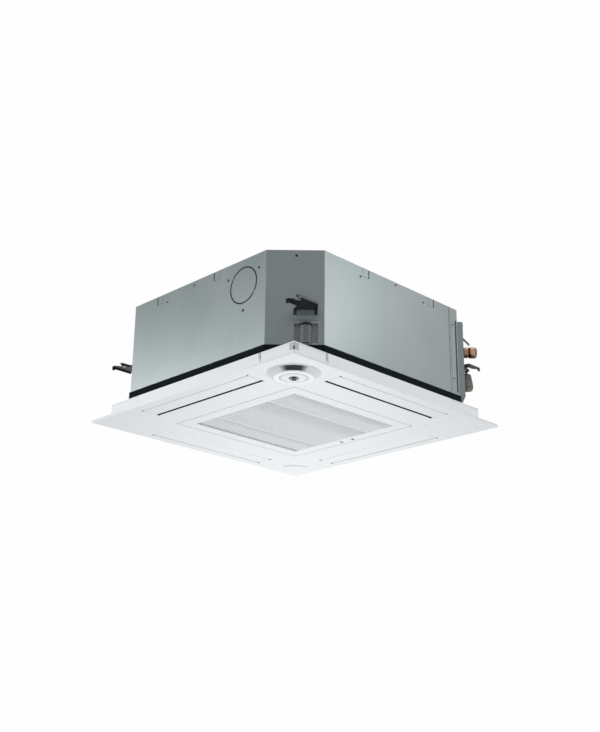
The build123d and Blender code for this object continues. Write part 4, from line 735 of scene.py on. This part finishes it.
class CASSETTE_OT_ducts(bpy.types.Operator):
    """Near-black lining of the four air ducts, dark stops and flat discs beside the vanes, all
    painted shade, and pale fillets
    """

    bl_idname = "cassette.ducts"
    bl_label = "Duct lining"

    def execute(self, context):
        # Each lining is a thin open-ended tube of four near-black plates that follows the duct's
        # rectangle; the near black is painted shade inside the duct.
        # One side's plates are worked out for the front and turned by quarter turns for the rest.
        sizes = context.scene.cassette_sizes
        skin = sizes.lining_thickness
        half, inner, outer = DUCT_HALF, DUCT_INNER, DUCT_OUTER
        low, high = UNDERSIDE + LINING_CLEAR, RING_TOP - LINING_DOWN
        rebate = UNDERSIDE + REBATE_DEPTH
        points, faces = boxes(quarter_turned([
            ((-half, -inner - skin, low), (half, -inner, high)),
            ((-half, -outer, rebate + REBATE_STEP), (half, -outer + skin, high)),
            ((-half, -outer, rebate), (-half + skin, -inner, high)),
            ((half - skin, -outer, rebate), (half, -inner, high)),
        ]))
        foam = beaded_foam("duct lining", context.scene.cassette_colours.lining)
        lining = outward(mesh_object("duct_linings", points, faces, foam, smooth=False))
        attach(lining, "chassis")

        # a stop is a short upright dark post in the round relief at each outer end of the rebate,
        # painted shade in the relief, and a flatter, wider dark disc, painted shade at the end of
        # the vane's inner gap, lies beside the inner edge at one end of each vane
        reliefs = quarter_places([(side * (half - STOP_SHADE_INSET), -REBATE) for side in (-1, 1)])
        end, edge = half - PLUG_SHADE_INSET, inner + PLUG_SHADE_OFFSET
        plug_shades = np.array([(end, -edge), (-edge, end), (edge, end), (end, edge)])
        foot, radius = UNDERSIDE - PROUD, sizes.stop_shade_radius
        points, faces = joined([posts(reliefs, radius, foot, UNDERSIDE + STOP_SHADE_HEIGHT),
                                posts(plug_shades, radius * PLUG_SHADE_WIDER, foot, UNDERSIDE + PLUG_SHADE_HEIGHT)])
        dark = rubber("stop rubber", (0.02, 0.02, 0.022))
        stops = outward(mesh_object("vane_stops", points, faces, dark))
        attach(stops, "chassis")

        # a fillet is a thin upright strip that takes up part of the gap at a vane's end
        narrow = sizes.end_fillet
        low, high = (UNDERSIDE + height for height in FILLET_HEIGHTS)
        strips = [((x0, -REBATE + FILLET_OUTER, low), (x1, -inner - FILLET_INNER, high))
                  for x0, x1 in ((-half, -half + narrow), (half - narrow, half))]
        points, faces = boxes(quarter_turned(strips))
        ends = outward(mesh_object("vane_end_fillets", points, faces, panel_white(), smooth=False))
        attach(ends, "chassis")
        return {"FINISHED"}


class CASSETTE_OT_vanes(bpy.types.Operator):
    """Four vanes whose inner edge rolls up into the duct, with cheeks and pivot pins"""

    bl_idname = "cassette.vanes"
    bl_label = "Air vanes"

    def execute(self, context):
        # The section is worked out outwards from the inner edge, by its share of the width. The
        # face is flat, but its inner edge rises by the distance left to the power 1.35, and its
        # outer edge by the square of the distance gone. The back is bowed by a parabola.
        rise = context.scene.cassette_sizes.vane_roll
        (_, outer, face), (_, inner, _) = VANE_BOX
        inner, outer = -inner, -outer
        share = np.concatenate([np.linspace(0, 1, 9) ** 1.3 * VANE_ROLL_SHARE,
                                [0.3, 0.5, 0.7, 0.9, VANE_LIP_SHARE, 0.985, 1.0]])
        roll = np.clip(1 - share / VANE_ROLL_SHARE, 0, 1) ** 1.35
        lip = np.clip((share - VANE_LIP_SHARE) / (1 - VANE_LIP_SHARE), 0, 1) ** 2
        bow = 1 - (2 * share - 1) ** 2
        lower = face + rise * roll + VANE_LIP * lip
        upper = face + VANE_EDGE + VANE_BOW * bow + (rise - VANE_BACK_LESS) * roll
        upper = np.maximum(upper, lower + VANE_THINNEST)
        place = -inner - share * (outer - inner)
        lower_line, upper_line = (np.stack([0 * place, place, height], axis=1)
                                  for height in (lower, upper))
        ends = np.array([[-1.0, 0.0, 0.0], [1.0, 0.0, 0.0]])
        blade = prism(np.concatenate([lower_line, upper_line[::-1]]),
                      ends[:1] * VANE_HALF, ends[1:] * VANE_HALF)

        # cheeks are round above the pivot and squarer below it; the pins are plain rods
        pivot = np.array([0.0, -inner - VANE_PIVOT[0], UNDERSIDE + VANE_PIVOT[1]])
        circle = ring(24, (0, 1, 0), UP)
        cheek = circle * CHEEK_RADIUS
        hang = -CHEEK_DROP * np.abs(circle[:, 2]) ** 0.35
        cheek[:, 2] = np.where(circle[:, 2] < 0, hang, cheek[:, 2])
        cheek_end = VANE_HALF - CHEEK_WIDTH
        cheeks = prism(cheek + pivot, ends * VANE_HALF, ends * cheek_end)
        pins = prism(circle * PIN_RADIUS + pivot, ends * cheek_end, ends * (VANE_HALF + VANE_PIN))
        points, faces = joined([blade, cheeks, pins])

        x, y, z = points.T
        for side in SIDES:
            turned = np.column_stack([x, y, z])
            vane = outward(mesh_object("vane_skin_" + side, turned, faces, panel_white(),
                                       smooth=False))
            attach(vane, "vane_" + side)
            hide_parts("vane_" + side)
            x, y = -y, x
        return {"FINISHED"}


class CASSETTE_OT_casing(bpy.types.Operator):
    """Painted shade: dark discs on the casing's screws and holes, a dark ring round the knock-out,
    grey plates on the ring, the near corner's slit and a shadow line
    """

    bl_idname = "cassette.casing"
    bl_label = "Casing details"

    def execute(self, context):
        sizes = context.scene.cassette_sizes
        wall, head, screw = -CASING, -CASING - SCREW_HEAD, sizes.recess_shade_radius
        # each mark is a flat dark disc, on a screw's head as painted shade of its recess, on the
        # wall as painted shade of a hole
        recesses = joined([
            discs([(head, 0.038, 0.371, screw), (head, 0.174, 0.353, screw),
                   (wall, -0.127, 0.337, 0.0044), (wall, -0.265, 0.338, 0.0044),
                   (wall, -0.198, 0.217, 0.0050)], (-1, 0, 0), (0, 1, 0)),
            discs([(-0.138, head, 0.352, screw), (0.030, head, 0.377, screw),
                   (0.168, head, 0.359, screw), (0.320, head, 0.325, 0.0024),
                   (0.320, head, 0.136, 0.0024)], (0, -1, 0), (1, 0, 0)),
            discs([(-0.3558, -0.3602, 0.3678, 0.0042)], TO_NEAR_CORNER, TO_PIPE_CORNER),
        ])
        dark = rubber("recess dark", (0.010, 0.011, 0.012))
        marks = outward(mesh_object("casing_recesses", *recesses, dark, smooth=False))
        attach(marks, "chassis")

        # The knock-out's edge is a flat dark ring of quads with two constant radii, painted shade
        # of the groove round the knock-out. Its angle leaves out the two bridges, and each row of
        # four points is one radial section.
        section = [(sizes.knockout_inner, 0.0), (sizes.knockout_inner, KNOCKOUT_PROUD),
                   (sizes.knockout_outer, KNOCKOUT_PROUD), (sizes.knockout_outer, 0.0)]
        radius, depth = np.array(section).T
        arcs = []
        for start, end in KNOCKOUT_ARCS:
            angle = np.radians(np.linspace(start, end, 60))[:, None]
            y = KNOCKOUT[0] - radius * np.cos(angle)
            z = KNOCKOUT[1] + radius * np.sin(angle)
            points = np.stack([wall - depth + 0 * angle, y, z], axis=-1).reshape(-1, 3)
            last = len(points) - 4
            caps = np.array([[0, 1, 2, 3], [last + 3, last + 2, last + 1, last]])
            faces = grid_faces(len(angle), 4, wrap_columns=True)
            arcs.append((points, np.concatenate([faces, caps])))
        edge = outward(mesh_object("knockout_edge", *joined(arcs), dark, smooth=False))
        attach(edge, "chassis")

        # grey plates of painted shade on the raised ring: at the near corner and over its two seams
        corner, rim = -RING_CORNER, -RING_SIDE
        plates = [
            ((corner - MARK, corner, 0.030), (corner, -0.411, 0.0515)),
            ((corner, corner - MARK, 0.030), (-0.411, corner, 0.0515)),
            ((rim - MARK, -0.2915, 0.034), (rim, -0.2850, 0.0535)),
            ((-0.2980, rim - MARK, 0.032), (-0.2915, rim, 0.0535)),
        ]
        shade = moulded_plastic("inlay grey", (0.40, 0.43, 0.44), 0.5)
        ring_shade_plates = outward(mesh_object("ring_inlays", *boxes(plates), shade, smooth=False))
        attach(ring_shade_plates, "chassis")

        # dark plates of painted shade for the slit round the near corner, and the painted shadow
        # line beside the pipe corner's cover
        proud = corner - 2 * MARK
        slits = [
            ((proud, proud, 0.0285), (corner, corner + SLIT_DEPTH, 0.0400)),
            ((corner, proud, 0.0285), (corner + SLIT_DEPTH, corner, 0.0400)),
            ((0.3335, wall - 0.0012, 0.090), (0.3385, wall - 0.0005, 0.344)),
        ]
        black = rubber("slit dark", (0.03, 0.032, 0.034))
        lines = outward(mesh_object("corner_slits", *boxes(slits), black, smooth=False))
        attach(lines, "chassis")
        return {"FINISHED"}


class CASSETTE_OT_fittings(bpy.types.Operator):
    """Rounded flare nut and the foam sleeve round the drain socket"""

    bl_idname = "cassette.fittings"
    bl_label = "Pipe fittings"

    def execute(self, context):
        # The nut is a profile turned about its axis: its radius is the smaller of the profile's
        # and of a hexagon's, apothem over the cosine of the angle from the nearest flat's middle.
        out, along = np.array(TO_PIPE_CORNER), np.array(ALONG_PIPE_CORNER)
        reach, radius = np.array(NUT_PROFILE).T / 1000
        circle = ring(48, along, UP)
        degrees = np.arange(48) * 360 / 48
        hexagon = NUT_APOTHEM / np.cos(np.radians((degrees + 30) % 60 - 30))
        radii = np.minimum(radius[:, None], hexagon)
        points = np.array(NUT) + reach[:, None, None] * out + radii[..., None] * circle
        faces = grid_faces(len(reach), len(circle), wrap_rows=True, wrap_columns=True)
        brass = brass_painted_dark_ends("stained brass", context.scene.cassette_colours.brass,
                              NUT, TO_PIPE_CORNER)
        nut = outward(mesh_object("gas_nut_rounded", points, faces, brass))
        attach(nut, "chassis")
        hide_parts("gas_nut")

        # The sleeve's outline is a superellipse, with a round hole for the socket. Its outer end
        # leans outwards below and its underside rises towards that end.
        circle = ring(56, along, UP)
        cos, sin = circle @ along, circle[:, 2]
        side, height = (np.sign(wave) * np.abs(wave) ** SQUARENESS for wave in (cos, sin))
        middle_along = float(np.dot(SOCKET, along))
        rows = []
        for share, shrink in SLEEVE_ROWS:
            foot = SLEEVE_FOOT + SLEEVE_FOOT_RISE * share
            level, half = (SLEEVE_TOP + foot) / 2, (SLEEVE_TOP - foot) / 2
            if shrink is None:
                sideways, rise = SLEEVE_HOLE * cos, SLEEVE_HOLE * sin
            else:
                sideways, rise = SLEEVE_HALF * side * shrink, (level + height * half) * shrink
            outwards = SLEEVE_WALL + share * (SLEEVE_LENGTH - SLEEVE_LEAN * rise)
            rows.append(outwards[:, None] * out + (middle_along + sideways)[:, None] * along
                        + (SOCKET[2] + rise)[:, None] * np.array(UP))
        faces = grid_faces(len(rows), len(circle), wrap_rows=True, wrap_columns=True)
        foam = mottled_foam("mottled foam", (0.185, 0.165, 0.150))
        sleeve = outward(mesh_object("drain_sleeve", np.array(rows), faces, foam))
        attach(sleeve, "chassis")
        return {"FINISHED"}


class CASSETTE_OT_stage(bpy.types.Operator):
    """Camera at the photographed angle, pale floor, white surroundings and soft lamps"""

    bl_idname = "cassette.stage"
    bl_label = "Stage"

    def execute(self, context):
        stage = context.scene.cassette_stage
        scene = context.scene
        scene.view_settings.view_transform = "Standard"

        camera = bpy.data.objects.new("camera", bpy.data.cameras.new("camera"))
        scene.collection.objects.link(camera)
        camera.data.lens = stage.lens
        camera.data.sensor_width = 36.0
        rows = zip(CAMERA_RIGHT, CAMERA_UP, (-part for part in CAMERA_LOOK), CAMERA_PLACE)
        camera.matrix_world = Matrix([*rows, (0, 0, 0, 1)])
        scene.camera = camera

        # the camera and clear pieces see plain white; everything else is lit by a cooler sky
        world = bpy.data.worlds.new("surroundings")
        scene.world = world
        world.use_nodes = True
        nodes, links = world.node_tree.nodes, world.node_tree.links
        nodes.clear()
        path = nodes.new("ShaderNodeLightPath")
        shown = nodes.new("ShaderNodeMath")
        shown.operation = "MAXIMUM"
        links.new(path.outputs["Is Camera Ray"], shown.inputs[0])
        links.new(path.outputs["Is Transmission Ray"], shown.inputs[1])
        mix = nodes.new("ShaderNodeMixShader")
        links.new(shown.outputs[0], mix.inputs[0])
        skies = [((0.97, 0.99, 1.0), stage.ambient), ((0.99, 0.99, 0.99), 1.0)]
        for socket, (tone, strength) in zip(mix.inputs[1:], skies):
            sky = nodes.new("ShaderNodeBackground")
            sky.inputs["Color"].default_value = (*tone, 1.0)
            sky.inputs["Strength"].default_value = strength
            links.new(sky.outputs[0], socket)
        output = nodes.new("ShaderNodeOutputWorld")
        links.new(mix.outputs[0], output.inputs["Surface"])

        # name, place, aim, width, height and fan-out angle; each power is in the stage's group
        lamps = [
            ("left_light", (-2.7, 2.1, 0.55), (-0.42, 0.05, 0.10), 1.8, 0.4, 26),
            ("right_light", (2.2, -2.9, 0.1), (0.1, -0.42, 0.2), 2.0, 2.0, 180),
            ("near_light", (-0.9, -0.9, -2.0), (-0.2, -0.2, 0.0), 2.0, 2.0, 180),
            ("far_light", (1.3, 1.3, -1.8), (0.2, 0.2, 0.0), 1.6, 1.6, 180),
            ("top_light", (0.6, -0.6, 3.0), (0.0, 0.0, 0.3), 2.4, 2.4, 180),
            ("edge_light", (1.12, -2.16, 1.08), (-0.40, -0.42, 0.20), 0.6, 0.6, 120),
        ]
        for name, at, to, width, height, spread in lamps:
            data = bpy.data.lights.new(name, "AREA")
            data.energy = getattr(stage, name)
            data.shape = "RECTANGLE" if height < width else "DISK"
            data.size, data.size_y = width, height
            data.spread = math.radians(spread)
            lamp = bpy.data.objects.new(name, data)
            scene.collection.objects.link(lamp)
            turn = (Vector(to) - Vector(at)).to_track_quat("-Z", "Y")
            lamp.matrix_world = Matrix.Translation(at) @ turn.to_matrix().to_4x4()

        # pale floor of the room below
        corners = np.array([(x * FLOOR_REACH, y * FLOOR_REACH, FLOOR_LEVEL)
                            for x, y in ((-1, -1), (1, -1), (1, 1), (-1, 1))])
        pale = Finish("pale floor", (0.82, 0.83, 0.83), 0.8)
        pale.tint(pale.noise(0.8, 2.0), 0.99, 1.01)
        floor = mesh_object("floor", corners, np.array([[0, 1, 2, 3]]), pale.material, smooth=False)
        return {"FINISHED"}


class CASSETTE_PT_panel(bpy.types.Panel):
    """Lists the pieces of the cassette"""

    bl_idname = "CASSETTE_PT_panel"
    bl_label = "Ceiling cassette"
    bl_space_type = "VIEW_3D"
    bl_region_type = "UI"
    bl_category = "Cassette"

    def draw(self, context):
        for operator in OPERATORS:
            self.layout.operator(operator.bl_idname)
        for name in GROUPS:
            group, box = getattr(context.scene, name), self.layout.box()
            for prop in group.bl_rna.properties.keys():
                if prop not in {"rna_type", "name"}:
                    box.prop(group, prop)


OPERATORS = [
    CASSETTE_OT_finishes, CASSETTE_OT_louvres, CASSETTE_OT_ducts, CASSETTE_OT_vanes,
    CASSETTE_OT_casing, CASSETTE_OT_fittings, CASSETTE_OT_stage,
]
GROUPS = {
    "cassette_sizes": CassetteSizes,
    "cassette_colours": CassetteColours,
    "cassette_stage": CassetteStage,
}


def register():
    """Make the groups, operators and panel known to Blender."""
    for name, group in GROUPS.items():
        bpy.utils.register_class(group)
        setattr(bpy.types.Scene, name, PointerProperty(type=group))
    for operator in (*OPERATORS, CASSETTE_PT_panel):
        bpy.utils.register_class(operator)


def unregister():
    """Take them away again, last one first."""
    for operator in (CASSETTE_PT_panel, *reversed(OPERATORS)):
        bpy.utils.unregister_class(operator)
    for name, group in reversed(GROUPS.items()):
        delattr(bpy.types.Scene, name)
        bpy.utils.unregister_class(group)


def main():
    """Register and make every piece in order."""
    register()
    for operator in OPERATORS:
        category, action = operator.bl_idname.split(".")
        getattr(getattr(bpy.ops, category), action)()


if __name__ == "__main__":
    main()
